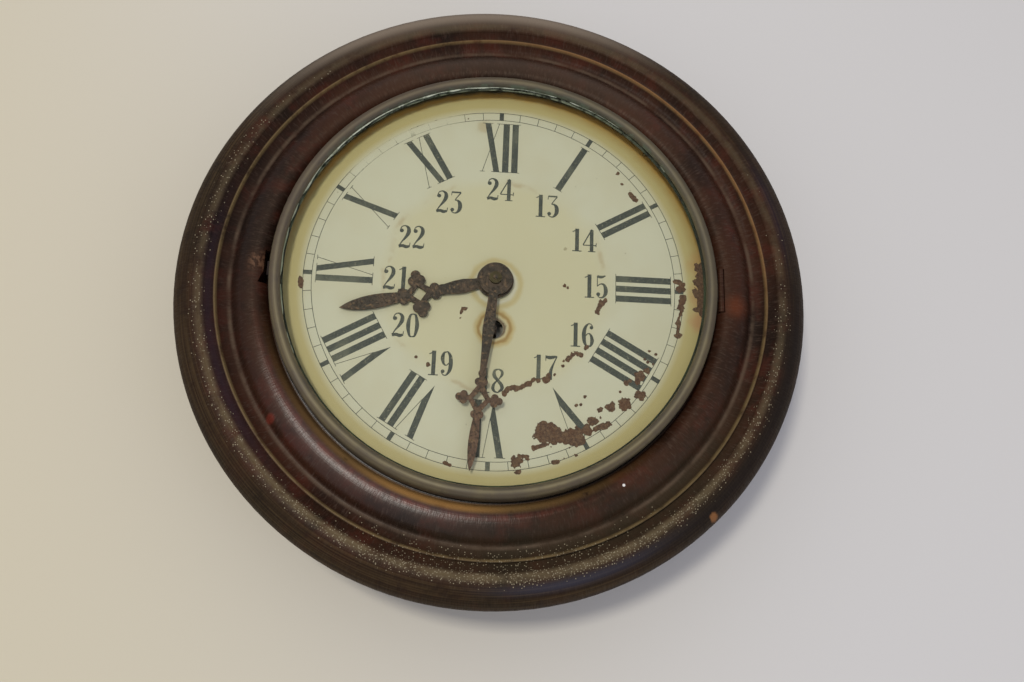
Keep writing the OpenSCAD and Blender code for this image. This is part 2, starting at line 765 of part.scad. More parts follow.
module front_plate() {
    color(brass) face_on() difference() {
        translate([0, 0, front_z]) linear_extrude(plate_t) difference() {
            plate_outline(-ear_y, ear_y);
            translate([4, 58]) square([44, 14], center = true);
            translate([4, -58]) square([44, 14], center = true);
            translate([31, 28]) circle(r = 6);
            translate([-26, -18]) circle(r = 7);
            translate([31, -24]) circle(r = 8);
        }
        hole(centre_shoulder_r + fit, front_z, front_face_z, $fn = 48);
        at(winding_pos) hole(winding_r + fit, front_z, front_face_z, $fn = 48);
        at(minute_pos) hole(stud_r + 0.01, front_z, front_face_z, $fn = 32);
        at(click_pos) hole(1 + fit, front_z, front_face_z, $fn = 32);
        at(click_spring_foot) hole(0.9 + fit, front_z, front_face_z, $fn = 32);
        for (p = [third_pos, fourth_pos, escape_pos, lever_pos, balance_pos])
            at(p) hole(pivot_r + fit, front_z, front_face_z, $fn = 32);
        for (p = pillar_pos) at(p) hole(pillar_end_r + fit, front_z, front_face_z, $fn = 32);
        for (p = screw_pos) at(p) hole(1.2 + fit, front_z, front_face_z, $fn = 32);
    }
}

module back_plate() {
    color(brass) face_on() difference() {
        translate([0, 0, back_face_z]) linear_extrude(plate_t) difference() {
            plate_outline(plate_low, plate_top);
            translate([-26, -14]) circle(r = 7);
            translate([-28, 28]) circle(r = 4);
        }
        hole(pivot_r * 2 + fit, back_face_z, back_z, $fn = 32);
        at(winding_pos) hole(winding_back_r + fit, back_face_z, back_z, $fn = 32);
        for (p = [third_pos, fourth_pos, escape_pos, lever_pos])
            at(p) hole(pivot_r + fit, back_face_z, back_z, $fn = 32);
        at(balance_pos) hole(roller_r + 1.2, back_face_z, back_z, $fn = 48);
        for (p = pillar_pos) at(p) hole(pillar_end_r + fit, back_face_z, back_z, $fn = 32);
        for (s = [-1, 1]) at(cock_foot + [s * cock_screw_gap, 0])
            hole(1 + fit, back_face_z, back_z, $fn = 32);
    }
}

module pillars() {
    color(brass) face_on() for (p = pillar_pos) at(p) {
        bar(pillar_end_r, back_face_z - 2.6, front_face_z, $fn = 32);
        bar(pillar_r, back_z, front_z, $fn = 48);
        bar(pillar_r + 0.9, back_z, back_z + 2, $fn = 48);
        bar(pillar_r + 0.9, front_z - 2, front_z, $fn = 48);
    }
}

module pillar_nuts() {
    color(steel) face_on() for (p = pillar_pos) at(p) difference() {
        translate([0, 0, back_face_z - 2]) cylinder(r = 3.2, h = 2, $fn = 6);
        hole(pillar_end_r + 0.02, back_face_z - 2, back_face_z, $fn = 32);
    }
}

module movement_screws() {
    color(steel) face_on() for (p = screw_pos) at(p) machine_screw(1.2, 2.6, 1.4, front_face_z, 10);
}

// Spring barrel with its teeth, open to the front
module barrel() {
    color(brass) face_on() at(winding_pos) difference() {
        union() {
            translate([0, 0, barrel_z])
                gear(barrel_n, barrel_m, wheel_flank, 90 + 180 / barrel_n, barrel_teeth_t);
            bar(barrel_drum_r, barrel_z, barrel_z + barrel_h);
        }
        bar(barrel_drum_r - barrel_wall, barrel_z + 1.4, barrel_z + barrel_h + eps);
        hole(winding_back_r + 0.6 + fit, barrel_z, barrel_z + 2);
    }
}

module barrel_cover() {
    low = barrel_z + barrel_h - 1.4;
    color(brass) face_on() at(winding_pos) difference() {
        bar(barrel_drum_r - barrel_wall - 0.02, low, low + 1.2);
        hole(winding_r + fit, low, low + 1.2);
    }
}

// Spiral strip whose pitch is steady, drawn from the outer end inwards
function spiral_point(r_out, r_in, turns, steps, i, shift) =
    polar(r_out + (r_in - r_out) * i / (turns * steps) + shift, i * 360 / steps);
module spiral_strip(r_out, r_in, turns, steps, t, h) {
    last = turns * steps;
    linear_extrude(h) polygon(concat(
        [for (i = [0:last]) spiral_point(r_out, r_in, turns, steps, i, t / 2)],
        [for (i = [last:-1:0]) spiral_point(r_out, r_in, turns, steps, i, -t / 2)]));
}

module mainspring() {
    color(steel) face_on() at(winding_pos, barrel_z + 1.8)
        spiral_strip(barrel_drum_r - barrel_wall - mainspring_t / 2 - 0.15, 4.9, mainspring_turns, 24,
            mainspring_t, barrel_h - 3.6);
}

module winding_arbor() {
    square_low = front_face_z + 0.3;
    color(steel) face_on() at(winding_pos) {
        bar(winding_back_r, back_face_z, back_z + end_shake, $fn = 48);
        bar(winding_back_r + 0.6, back_z + end_shake, barrel_z + 1.6, $fn = 48);
        bar(4.4, barrel_z + 1.6, barrel_z + barrel_h - 1.6, $fn = 48);
        bar(winding_r, barrel_z + barrel_h - 1.6, square_low, $fn = 48);
        translate([-square_w / 2, -square_w / 2, square_low])
            cube([square_w, square_w, dial_z - 1 - square_low]);
    }
}

// Ratchet wheel on the winding square
module ratchet_outline() {
    polygon([for (i = [0:ratchet_n - 1]) for (p = [[ratchet_r, 0], [ratchet_r - 1.1, 0.6]])
        polar(p[0], p[1] + i * 360 / ratchet_n + click_at)]);
}

module ratchet_wheel() {
    low = front_face_z + 0.4;
    color(steel) face_on() at(winding_pos, low) difference() {
        linear_extrude(wheel_t) ratchet_outline();
        translate([-square_w / 2 - 0.02, -square_w / 2 - 0.02, -1])
            cube([square_w + 0.04, square_w + 0.04, 4]);
    }
}

// Click: its nose lies along the ratchet's edge, just clear of the tips, and its spring clears its tail
click_low = front_face_z + 0.4;
click_spring_foot = click_pos + [-6, 9];
click_tail_l = 4.2;
module click() {
    color(steel) face_on() at(click_pos, click_low) difference() {
        linear_extrude(wheel_t) rotate(click_arm_at) union() {
            circle(r = 2.4, $fn = 32);
            polygon([[-click_tail_l, -0.7], [0, -2.3], [click_arm_l, -click_nose_w / 2],
                [click_arm_l, click_nose_w / 2], [0, 2.3], [-click_tail_l, 0.7]]);
        }
        translate([0, 0, -1]) cylinder(r = 1 + fit, h = 4, $fn = 32);
    }
}

module click_screw() {
    color(steel) face_on() {
        at(click_pos) machine_screw(1, 1.9, 0.9, click_low + wheel_t + 0.2, wheel_t + 0.6 + plate_t);
        at(click_spring_foot) machine_screw(0.9, 1.7, 0.9, front_face_z + 0.8, 0.8 + plate_t);
    }
}

module click_spring() {
    tail = click_pos - click_spring_foot + polar(click_tail_l, click_arm_at + 180);
    color(steel) face_on() at(click_spring_foot, front_face_z + 0.1) difference() {
        linear_extrude(0.7) union() {
            circle(r = 1.8, $fn = 32);
            polygon([[-1.7, 0], [-1.2, -3], [tail[0] - 2.2, tail[1] + 1.9], [tail[0] + 0.6, tail[1] + 1.5],
                [tail[0] + 0.6, tail[1] + 1.9], [tail[0] - 1.4, tail[1] + 2.4], [-0.6, -3], [1.2, 0]]);
        }
        translate([0, 0, -1]) cylinder(r = 0.9 + fit, h = 3, $fn = 32);
    }
}

// Centre arbor and wheel
module centre_arbor() {
    color(steel) face_on() {
        bar(pivot_r * 2, back_face_z, back_z + end_shake, $fn = 32);
        bar(centre_r, back_z + end_shake, front_z - 0.6, $fn = 48);
        bar(centre_shoulder_r, front_z - 0.6, front_face_z, $fn = 48);
        bar(centre_r, front_face_z, minute_hand_z + hand_t + 0.35, $fn = 48);
        bar(centre_r - 0.4, minute_hand_z + hand_t + 0.3, minute_hand_z + hand_t + nut_h + 0.8, $fn = 32);
        translate([0, 0, barrel_z - 0.5])
            gear(centre_pinion_n, barrel_m, leaf_flank, 270, barrel_teeth_t + 1);
        bar(centre_shoulder_r + 0.8, centre_z - 1.2, centre_z, $fn = 48);
    }
}

module centre_wheel() {
    color(brass) face_on() translate([0, 0, centre_z])
        toothed_wheel(centre_n, centre_m, third_at + 180 / centre_n, wheel_t, centre_r + 0.02, 5);
}

// Motion work between the front plate and the dial
module cannon_pinion() {
    low = front_face_z + 0.3;
    color(steel) face_on() difference() {
        union() {
            translate([0, 0, low]) gear(cannon_n, motion_m, leaf_flank, 0, 3);
            bar(pipe_r, low, minute_hand_z - 0.02, $fn = 48);
        }
        hole(centre_r + fit, low, minute_hand_z, $fn = 48);
    }
}

module minute_wheel() {
    low = front_face_z + 0.8;
    color(brass) face_on() at(minute_pos) difference() {
        union() {
            translate([0, 0, low]) gear(minute_n, motion_m, wheel_flank, 180 + 180 / minute_n, wheel_t);
            translate([0, 0, low + wheel_t]) gear(minute_pinion_n, hour_m, leaf_flank, 180, 3.2);
        }
        hole(stud_r + fit, low, low + 5, $fn = 32);
    }
}

module minute_wheel_stud() {
    color(steel) face_on() at(minute_pos) {
        bar(stud_r, front_z, front_face_z + 5.6, $fn = 32);
        bar(stud_r + 0.9, front_face_z, front_face_z + 0.6, $fn = 32);
        bar(stud_r + 0.7, front_face_z + 5.4, front_face_z + 6, $fn = 32);
    }
}

module hour_wheel() {
    low = front_face_z + 4;
    color(brass) face_on() difference() {
        union() {
            translate([0, 0, low]) gear(hour_n, hour_m, wheel_flank, 180 / hour_n, wheel_t);
            bar(hour_pipe_r, low, hour_hand_z + hand_t + 0.5, $fn = 48);
        }
        hole(hour_pipe_in_r, low, hour_hand_z + hand_t + 0.5, $fn = 48);
    }
}

// Going train
module third_wheel() {
    color(brass) face_on() at(third_pos, third_z)
        toothed_wheel(third_n, third_m, fourth_at + 180 / third_n, wheel_t, thin_r + 0.02, 4);
}

module third_arbor() {
    color(steel) face_on() train_arbor(third_pos, centre_m, third_at + 180, centre_z - 0.6, 2.4);
}

module fourth_wheel() {
    color(brass) face_on() at(fourth_pos, fourth_z)
        toothed_wheel(fourth_n, fourth_m, escape_at + 180 / fourth_n, wheel_t, thin_r + 0.02, 4);
}

module fourth_arbor() {
    color(steel) face_on() train_arbor(fourth_pos, third_m, fourth_at + 180, third_z - 0.6, 2.4);
}

// Escape wheel with pointed teeth that lean forward
module escape_outline() {
    polygon([for (i = [0:escape_n - 1]) for (p = [[escape_r - 2.4, -22], [escape_r - 2.2, -9],
            [escape_r, -1.5], [escape_r, 0], [escape_r - 2.2, -3]])
        polar(p[0], p[1] + i * 360 / escape_n + lever_at)]);
}

module escape_wheel() {
    color(brass) face_on() at(escape_pos, escape_z) difference() {
        linear_extrude(wheel_t) escape_outline();
        crossings(escape_r - 3.4, thin_r + 1.6, 4, 1.2, wheel_t);
        hole(thin_r + 0.02, 0, wheel_t, $fn = 32);
    }
}

module escape_arbor() {
    color(steel) face_on() train_arbor(escape_pos, fourth_m, escape_at + 180, fourth_z - 0.6, 2.4);
}

// Lever: two pallet arms outside the escape wheel's tips and a fork towards the balance. At mid swing both
// pallets are clear of the tips, and at each end of the swing one pallet stands between two teeth.
pallet_clear = 0.15;
pallet_arm_out = 0.55;
pallet_arm_w = 1.2;
lever_hub_r = 1.3;
module pallet_lever() {
    arm_l = escape_r * tan(pallet_half);
    pallet_l = pallet_arm_out + pallet_arm_w / 2 - pallet_clear;
    color(steel) face_on() at(lever_pos, escape_z) difference() {
        linear_extrude(wheel_t) rotate(lever_at) union() {
            circle(r = lever_hub_r, $fn = 32);
            for (s = [-1, 1]) rotate(s * (90 + pallet_half)) {
                translate([0, -s * (pallet_arm_out + pallet_arm_w / 2) - pallet_arm_w / 2])
                    square([arm_l + 1.5, pallet_arm_w]);
                translate([arm_l + 0.3, -s * (pallet_clear + pallet_l / 2) - pallet_l / 2])
                    square([1.2, pallet_l]);
            }
            polygon([[0, -1.1], [lever_l - 3.5, -0.6], [lever_l - 3, -1.6], [lever_l, -1.5], [lever_l, 1.5],
                [lever_l - 3, 1.6], [lever_l - 3.5, 0.6], [0, 1.1]]);
        }
        rotate(lever_at) translate([lever_l - 1.8, -0.5, -1]) cube([4, 1, 4]);
        translate([0, 0, -1]) cylinder(r = thin_r + 0.02, h = 4, $fn = 32);
    }
}

module pallet_arbor() {
    color(steel) face_on() at(lever_pos) {
        bar(pivot_r, back_face_z, back_z + end_shake, $fn = 32);
        bar(thin_r, back_z + end_shake, front_z - end_shake, $fn = 32);
        bar(pivot_r, front_z - end_shake, front_face_z, $fn = 32);
    }
}

// Balance: a heavy rim with two arms, behind the back plate
module balance_wheel() {
    color(brass) face_on() at(balance_pos, balance_z) difference() {
        bar(balance_r, 0, balance_t);
        crossings(balance_r - 1.8, 2.6, 2, 2, balance_t);
        hole(1.2 + 0.02, 0, balance_t, $fn = 32);
    }
}

// Staff with the roller and the impulse pin, which stops short of the fork
module balance_staff() {
    pin_low = escape_z + wheel_t + arm_gap;
    color(steel) face_on() at(balance_pos) {
        bar(pivot_r, cock_z, hairspring_z - 0.6, $fn = 32);
        bar(1.2, hairspring_z - 0.6, front_z - end_shake, $fn = 32);
        bar(pivot_r, front_z - end_shake, front_face_z, $fn = 32);
        bar(1.6, hairspring_z, hairspring_z + hairspring_h + 0.4, $fn = 32);
        bar(roller_r, pin_low + 0.8, pin_low + 1.6, $fn = 48);
        at(polar(roller_r - 0.7, balance_at + 180)) bar(0.35, pin_low, pin_low + 1, $fn = 24);
    }
}

module hairspring() {
    color(steel) face_on() at(balance_pos, hairspring_z)
        rotate(cock_at) spiral_strip(hairspring_r, 1.9, hairspring_turns, 24, 0.25, hairspring_h);
}

// Cock: a foot on the back plate and an arm over the balance, with a stud for the balance spring's end
module balance_cock() {
    color(brass) face_on() difference() {
        union() {
            at(cock_foot, cock_z) linear_extrude(back_face_z - cock_z) square([14, 7], center = true);
            at([0, 0], cock_z) linear_extrude(cock_t) hull() {
                translate(cock_foot) square([12, 6], center = true);
                translate(balance_pos) circle(r = boss_r, $fn = 32);
            }
            at(balance_pos + polar(hairspring_r + hairspring_stud_r + 0.3, cock_at))
                bar(hairspring_stud_r, cock_z, hairspring_z + hairspring_h, $fn = 32);
            at(balance_pos) bar(regulator_boss_r, cock_z - regulator_t - 0.3, cock_z + 1, $fn = 48);
        }
        at(balance_pos) hole(pivot_r + fit, cock_z - regulator_t - 0.3, cock_z + cock_t, $fn = 32);
        for (s = [-1, 1]) at(cock_foot + [s * cock_screw_gap, 0])
            hole(1 + fit, cock_z, back_face_z, $fn = 32);
    }
}

module cock_screws() {
    color(steel) face_on() for (s = [-1, 1]) at(cock_foot + [s * cock_screw_gap, 0])
        mirror([0, 0, 1]) machine_screw(1, 1.9, 1.1, -cock_z, back_face_z - cock_z + plate_t);
}

// Regulator: a ring on the cock's boss with a pointer
module regulator() {
    color(steel) face_on() at(balance_pos, cock_z - regulator_t - 0.1) difference() {
        linear_extrude(regulator_t) union() {
            circle(r = boss_r + 0.4, $fn = 48);
            polygon([[-0.9, 0], [0.9, 0], [0.5, 13], [0, 14.5], [-0.5, 13]]);
        }
        hole(regulator_boss_r + fit, 0, regulator_t, $fn = 48);
    }
}

surround();
drum();
glue_blocks();
back_board();
back_screws();
hanger();
hanger_screws();
upper_rail();
lower_rail();
rail_screws();
dial();
dial_pins();
bezel();
glass();
glass_putty();
bezel_hinge_leaf();
case_hinge_leaf();
hinge_pin();
bezel_catch();
minute_hand();
hour_hand();
hand_nut();
front_plate();
back_plate();
pillars();
pillar_nuts();
movement_screws();
barrel();
barrel_cover();
mainspring();
winding_arbor();
ratchet_wheel();
click();
click_screw();
click_spring();
centre_wheel();
centre_arbor();
cannon_pinion();
minute_wheel();
minute_wheel_stud();
hour_wheel();
third_wheel();
third_arbor();
fourth_wheel();
fourth_arbor();
escape_wheel();
escape_arbor();
pallet_lever();
pallet_arbor();
balance_wheel();
balance_staff();
hairspring();
balance_cock();
cock_screws();
regulator();
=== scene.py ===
"""Looks of a round wall clock: turned and shellacked surround, tarnished bezel, painted tin dial and pierced hands.

The dial's printing, the flaked paint and the putty line are meshes made here; every other piece is a CAD node with
a procedural material. All drawing on the dial is in millimetres on the dial's face, x to the right and y to twelve.
"""
import math

import bpy
import numpy as np
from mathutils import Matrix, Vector


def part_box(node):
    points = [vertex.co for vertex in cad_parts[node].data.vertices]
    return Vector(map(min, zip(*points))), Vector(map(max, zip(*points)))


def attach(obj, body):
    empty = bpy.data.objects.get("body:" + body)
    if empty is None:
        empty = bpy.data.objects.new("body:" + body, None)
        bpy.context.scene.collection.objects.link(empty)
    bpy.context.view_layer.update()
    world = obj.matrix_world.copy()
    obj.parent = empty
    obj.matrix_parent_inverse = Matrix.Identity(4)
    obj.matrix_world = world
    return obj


bl_info = {
    "name": "Round Wall Clock",
    "version": (1, 0, 0),
    "blender": (4, 5, 0),
    "location": "View3D > Sidebar > Clock",
    "description": "Finishes and printed dial of a round wall clock with a turned wooden surround",
    "category": "Object",
}

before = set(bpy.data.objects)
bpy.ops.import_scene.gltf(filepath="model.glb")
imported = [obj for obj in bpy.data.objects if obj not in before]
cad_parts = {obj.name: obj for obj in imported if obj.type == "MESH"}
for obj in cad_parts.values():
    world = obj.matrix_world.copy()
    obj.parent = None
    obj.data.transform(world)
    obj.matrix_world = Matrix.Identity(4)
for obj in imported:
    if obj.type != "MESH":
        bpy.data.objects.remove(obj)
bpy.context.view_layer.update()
MM = 0.001
SEED = 7
# the rest is in millimetres
DIAL_FACE = -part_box("dial")[0].y / MM   # height of the painted face above the wall
CASE_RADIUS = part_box("drum")[1].x / MM
LIP = 101.1                             # radius at which the bezel's lip leaves the glass clear
TURNING_RADIUS = 120.0                  # middle of the surround, where a lathe's pattern has its true length
PRINT_LIFT = 0.02                       # height of the printing over the paint
FLAKE_LIFT = 0.045                      # height of the bared patches, which lie over the printing


def colour(code):
    """An sRGB hex value as the linear colour that shaders take."""
    parts = [int(code[i:i + 2], 16) / 255 for i in (1, 3, 5)]
    return [p / 12.92 if p <= 0.04045 else ((p + 0.055) / 1.055) ** 2.4 for p in parts] + [1.0]


# ---- settings ----

class ClockPrinting(bpy.types.PropertyGroup):
    """Sizes of what is printed on the dial"""
    track_inner: bpy.props.FloatProperty(
        name="Track inner radius", description="Inner circle of the minute track", default=0.0881, unit="LENGTH")
    track_outer: bpy.props.FloatProperty(
        name="Track outer radius", description="Outer circle of the minute track", default=0.0922, unit="LENGTH")
    hairline: bpy.props.FloatProperty(
        name="Hairline", description="Width of the thinnest printed lines", default=0.0003, unit="LENGTH")
    numeral_foot: bpy.props.FloatProperty(
        name="Numeral foot", description="Radius at which the hour numerals begin", default=0.059, unit="LENGTH")
    numeral_head: bpy.props.FloatProperty(
        name="Numeral head", description="Radius at which the hour numerals end", default=0.0861, unit="LENGTH")
    bar: bpy.props.FloatProperty(
        name="Bar width", description="Width of a thick stroke of an hour numeral", default=0.0032, unit="LENGTH")
    digit_height: bpy.props.FloatProperty(
        name="Digit height", description="Height of the inner digits", default=0.0121, unit="LENGTH")


class ClockColours(bpy.types.PropertyGroup):
    """Colours of the clock's finishes"""
    paint: bpy.props.FloatVectorProperty(
        name="Dial paint", description="Yellowed cream paint", subtype="COLOR", size=4, default=colour("#E6E4C7"))
    ink: bpy.props.FloatVectorProperty(
        name="Printing", description="Faded printing ink", subtype="COLOR", size=4, default=colour("#4C524B"))
    shellac: bpy.props.FloatVectorProperty(
        name="Shellac", description="Red brown shellac of the surround", subtype="COLOR", size=4,
        default=colour("#331B10"))
    brass: bpy.props.FloatVectorProperty(
        name="Tarnish", description="Tarnished brass of the bezel", subtype="COLOR", size=4,
        default=colour("#695D3D"))
    wall: bpy.props.FloatVectorProperty(
        name="Wall", description="Pale wall behind the clock", subtype="COLOR", size=4, default=colour("#D4D0C9"))


# ---- tools for shaders and meshes ----

def add(tree, kind, **given):
    """Adds a shader node. A lower case name is one of its settings. Any other is a socket, by its identifier or by its
    name with _ for a space, and takes a value, another node or a node's socket."""
    made = tree.nodes.new("ShaderNode" + kind)
    for key in sorted(given, key=lambda k: not k[0].islower()):
        value = given[key]
        if key[0].islower():
            setattr(made, key, value)
            continue
        socket = next(s for s in made.inputs if key in (s.identifier, s.name.replace(" ", "_")))
        if isinstance(value, bpy.types.Node):
            value = next(s for s in value.outputs if s.enabled)
        if isinstance(value, bpy.types.NodeSocket):
            tree.links.new(value, socket)
        else:
            socket.default_value = value
    return made


def new_material(name):
    """An empty material with a Principled shader. Returns the material, its tree and the shader."""
    made = bpy.data.materials.new(name)
    made.use_nodes = True
    return made, made.node_tree, made.node_tree.nodes["Principled BSDF"]


def finish(tree, shader, base, roughness, relief):
    """Gives the shader its colour, roughness and relief. A plain roughness is set on the socket itself."""
    tree.links.new(base, shader.inputs["Base Color"])
    if isinstance(roughness, float):
        shader.inputs["Roughness"].default_value = roughness
    else:
        tree.links.new(roughness.outputs[0], shader.inputs["Roughness"])
    tree.links.new(relief.outputs[0], shader.inputs["Normal"])


def dial_place(tree):
    """Where a point lies on the clock in millimetres: its place, its place on the dial's plane, its radius and its
    angle, counted from three o'clock towards twelve."""
    place = add(tree, "VectorMath", operation="SCALE", Vector=add(tree, "TexCoord").outputs["Object"], Scale=1000.0)
    split = add(tree, "SeparateXYZ", Vector=place)
    flat = add(tree, "CombineXYZ", X=split.outputs["X"], Y=split.outputs["Z"])
    radius = add(tree, "VectorMath", operation="LENGTH", Vector=flat)
    angle = add(tree, "Math", operation="ARCTAN2", Value=split.outputs["Z"], Value_001=split.outputs["X"])
    return place, flat, radius, angle


def turned(tree, radius, angle, along, across):
    """Coordinates that follow a lathe: one unit is `along` mm round the ring and `across` mm of its radius."""
    return add(tree, "CombineXYZ",
               X=add(tree, "Math", operation="MULTIPLY", Value=angle, Value_001=TURNING_RADIUS / along),
               Y=add(tree, "Math", operation="MULTIPLY", Value=radius, Value_001=1.0 / across))


def patches(tree, place, size, low, high, most=1.0):
    """Cloudy patches about `size` mm across: 0 where the noise is under low, rising to most at high."""
    clouds = add(tree, "TexNoise", Vector=place, Scale=1.0 / size, Detail=4.0, Roughness=0.6)
    return add(tree, "MapRange", interpolation_type="SMOOTHSTEP", Value=clouds, From_Min=low, From_Max=high,
               To_Max=most)


def ring(tree, radius, middle, reach, most=1.0):
    """A soft ring: most at the middle radius, falling to 0 a distance reach to either side."""
    away = add(tree, "Math", operation="ABSOLUTE",
               Value=add(tree, "Math", operation="SUBTRACT", Value=radius, Value_001=middle))
    return add(tree, "MapRange", interpolation_type="SMOOTHSTEP", Value=away, From_Min=reach, From_Max=0.0,
               To_Max=most)


def spot(tree, flat, x, y, inner, outer, most=1.0):
    """A soft spot on the dial's plane: most within the inner distance of (x, y), falling to 0 at the outer."""
    away = add(tree, "VectorMath", operation="DISTANCE", Vector=flat, Vector_001=(x, y, 0.0))
    return add(tree, "MapRange", interpolation_type="SMOOTHSTEP", Value=away, From_Min=outer, From_Max=inner,
               To_Max=most)


def ragged(tree, place, size, reach):
    """A place shifted by noise of the given size, up to about half the reach each way, which makes edges ragged."""
    push = add(tree, "VectorMath", operation="SUBTRACT", Vector_001=(0.5, 0.5, 0.5),
               Vector=add(tree, "TexNoise", Vector=place, Scale=1.0 / size, Detail=4.0).outputs["Color"])
    return add(tree, "VectorMath", operation="MULTIPLY_ADD", Vector=push, Vector_001=(reach, reach, reach),
               Vector_002=place)


def coats(tree, base, *layers):
    """Lays colours over a base one after another. Each layer is its share, from 0 to 1, and its colour."""
    for share, over in layers:
        base = add(tree, "Mix", data_type="RGBA", Factor_Float=share,
                   A_Color=colour(base) if isinstance(base, str) else base,
                   B_Color=colour(over) if isinstance(over, str) else over)
    return next(s for s in base.outputs if s.enabled)


def paint_nodes(material, *nodes):
    """Gives a material to CAD nodes."""
    for name in nodes:
        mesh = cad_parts[name].data
        mesh.materials.clear()
        mesh.materials.append(material)


def add_mesh(name, points, faces, material, body, lift):
    """A mesh drawn in dial millimetres. points are (x, y, height over the dial); lift is added to each height."""
    verts = [(p[0] * MM, -(DIAL_FACE + lift + p[2]) * MM, p[1] * MM) for p in points]
    mesh = bpy.data.meshes.new(name)
    mesh.from_pydata(verts, [], faces)
    mesh.materials.append(material)
    made = bpy.data.objects.new(name, mesh)
    bpy.context.scene.collection.objects.link(made)
    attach(made, body)
    return made


# ---- finishes ----

def shellacked_beech(colours):
    """Turned beech under old shellac, worn on its raised lines.

    The shellac gives a dark red brown gloss that the pores break up, the raised lines are rubbed to tan, the outer
    bead shows pale dots, part open pores and part painted sparkle, and an amber reflection of the brass bezel is
    painted beside it. Painted highlights, painted shade and painted blue reflections of the sky lie on the rim and
    mouldings.
    """
    made, tree, shader = new_material("shellacked_beech")
    place, flat, radius, angle = dial_place(tree)
    rough_flat = ragged(tree, flat, 2.5, 3.0)
    # beech pores are 0.1 mm wide; drawn 0.5 mm wide and 3 mm long so that they show
    pores = add(tree, "TexNoise", Vector=turned(tree, radius, angle, 0.5, 3.0), Scale=1.0, Detail=2.0)
    # tool marks round the ring, 0.6 mm apart
    marks = add(tree, "TexNoise", Vector=turned(tree, radius, angle, 70.0, 0.6), Scale=1.0, Detail=2.0)
    upper_right = spot(tree, flat, 95.0, 95.0, 50.0, 150.0)
    base = coats(
        tree, "#170D09",
        (patches(tree, place, 42.0, 0.34, 0.60), list(colours.shellac)),
        (patches(tree, place, 15.0, 0.48, 0.68, 0.7), "#421C12"),
        (patches(tree, place, 7.0, 0.50, 0.72, 0.4), "#120D0A"),
        # grain where the gloss has gone grey
        (patches(tree, turned(tree, radius, angle, 0.8, 4.0), 1.0, 0.50, 0.70, 0.5), "#493A30"),
        # painted violet reflections of the sky in the hollow at the left and on the rim
        (ring(tree, radius, 136.0, 4.5, spot(tree, flat, -130.0, -35.0, 25.0, 95.0, 0.45)), "#2D2534"),
        (ring(tree, radius, 146.0, 5.0, spot(tree, flat, 142.0, 45.0, 10.0, 45.0, 0.7)), "#2A2238"),
        # the rim is olive brown, with the tool's lines
        (add(tree, "MapRange", Value=radius, From_Min=140.5, From_Max=146.0, To_Max=0.75),
         coats(tree, "#1A140A", (patches(tree, turned(tree, radius, angle, 90.0, 0.7), 1.0, 0.42, 0.66), "#3D311D"),
               (patches(tree, place, 6.0, 0.50, 0.68, 0.6), "#120D09"))),
        # a painted blue reflection of the sky on the rim at the lower right
        (ring(tree, radius, 146.0, 4.0, spot(tree, flat, 48.0, -135.0, 15.0, 65.0, 0.55)), "#363B4B"),
        # painted highlight of light from above along its top, and painted shade on its right and in the hollows at the
        # left
        (ring(tree, radius, 148.0, 6.0, spot(tree, flat, -30.0, 146.0, 40.0, 130.0, 0.9)), "#76695A"),
        (ring(tree, radius, 147.0, 9.0, spot(tree, flat, -10.0, 150.0, 30.0, 110.0, 0.45)), "#8A7B69"),
        (ring(tree, radius, 125.0, 22.0, spot(tree, flat, -122.0, 10.0, 30.0, 95.0, 0.45)), "#1A110E"),
        (ring(tree, radius, 147.5, 8.0, spot(tree, flat, 132.0, -70.0, 50.0, 125.0, 0.85)), "#100D0D"),
        # the hollows are olive at the bottom
        (ring(tree, radius, 130.0, 20.0, spot(tree, flat, 55.0, -122.0, 40.0, 125.0, 0.65)), "#2F2B1D"),
        # a painted highlight along the valley beside the wide moulding, and worn lines: the thin line and the bead
        (ring(tree, radius, 127.0, 1.6, patches(tree, place, 14.0, 0.30, 0.62, 0.6)), "#5E4E3E"),
        (ring(tree, radius, 132.7, 1.1, patches(tree, place, 9.0, 0.25, 0.55, 0.75)), "#75623F"),
        (ring(tree, radius, 132.8, 0.9, add(tree, "Math", operation="MULTIPLY", Value=upper_right, Value_001=0.75)),
         "#855F3A"),
        (ring(tree, radius, 140.3, 3.2, patches(tree, place, 12.0, 0.26, 0.56, add(
            tree, "MapRange", Value=spot(tree, flat, -20.0, -140.0, 60.0, 230.0), To_Min=0.35, To_Max=0.8))),
         "#64573E"),
        # a painted grey sheen at the top of the wide moulding
        (ring(tree, radius, 118.0, 9.0, spot(tree, flat, 10.0, 118.0, 30.0, 110.0, 0.5)), "#4C3C2F"),
        # red where the shellac is thin beside the bezel, low on the left, and a painted amber reflection of the brass
        # bezel in the shellac there
        (ring(tree, radius, 114.2, 2.6, ring(tree, angle, -2.0, 1.2, patches(tree, place, 8.0, 0.35, 0.6, 0.8))),
         "#5E2416"),
        (ring(tree, radius, 109.8, 3.6, ring(tree, angle, -1.85, 1.2, patches(tree, place, 8.0, 0.22, 0.42))),
         "#86683F"),
        (ring(tree, radius, 110.2, 3.0, spot(tree, flat, -25.0, -106.0, 12.0, 40.0, 0.8)), "#A87B45"),
        # painted shade in the gap where the bezel's skirt goes in
        (add(tree, "MapRange", Value=radius, From_Min=107.9, From_Max=107.6), "#0C0806"),
        # rubbed round the catch's slot
        (spot(tree, rough_flat, -113.0, 2.0, 2.0, 6.5, patches(tree, place, 1.8, 0.42, 0.58, 0.5)), "#74543E"),
        # chips, red spots and a fleck of white paint
        (spot(tree, rough_flat, 104.5, -108.5, 1.2, 2.8, 0.7), "#96643A"),
        (spot(tree, flat, -100.0, -73.0, 1.2, 3.0, 0.7), "#6E2A1E"),
        (spot(tree, rough_flat, 117.0, -8.0, 1.0, 9.0, 0.35), "#7A3A1C"),
        (spot(tree, flat, 62.0, -97.0, 0.5, 0.8), "#E8E4DA"))
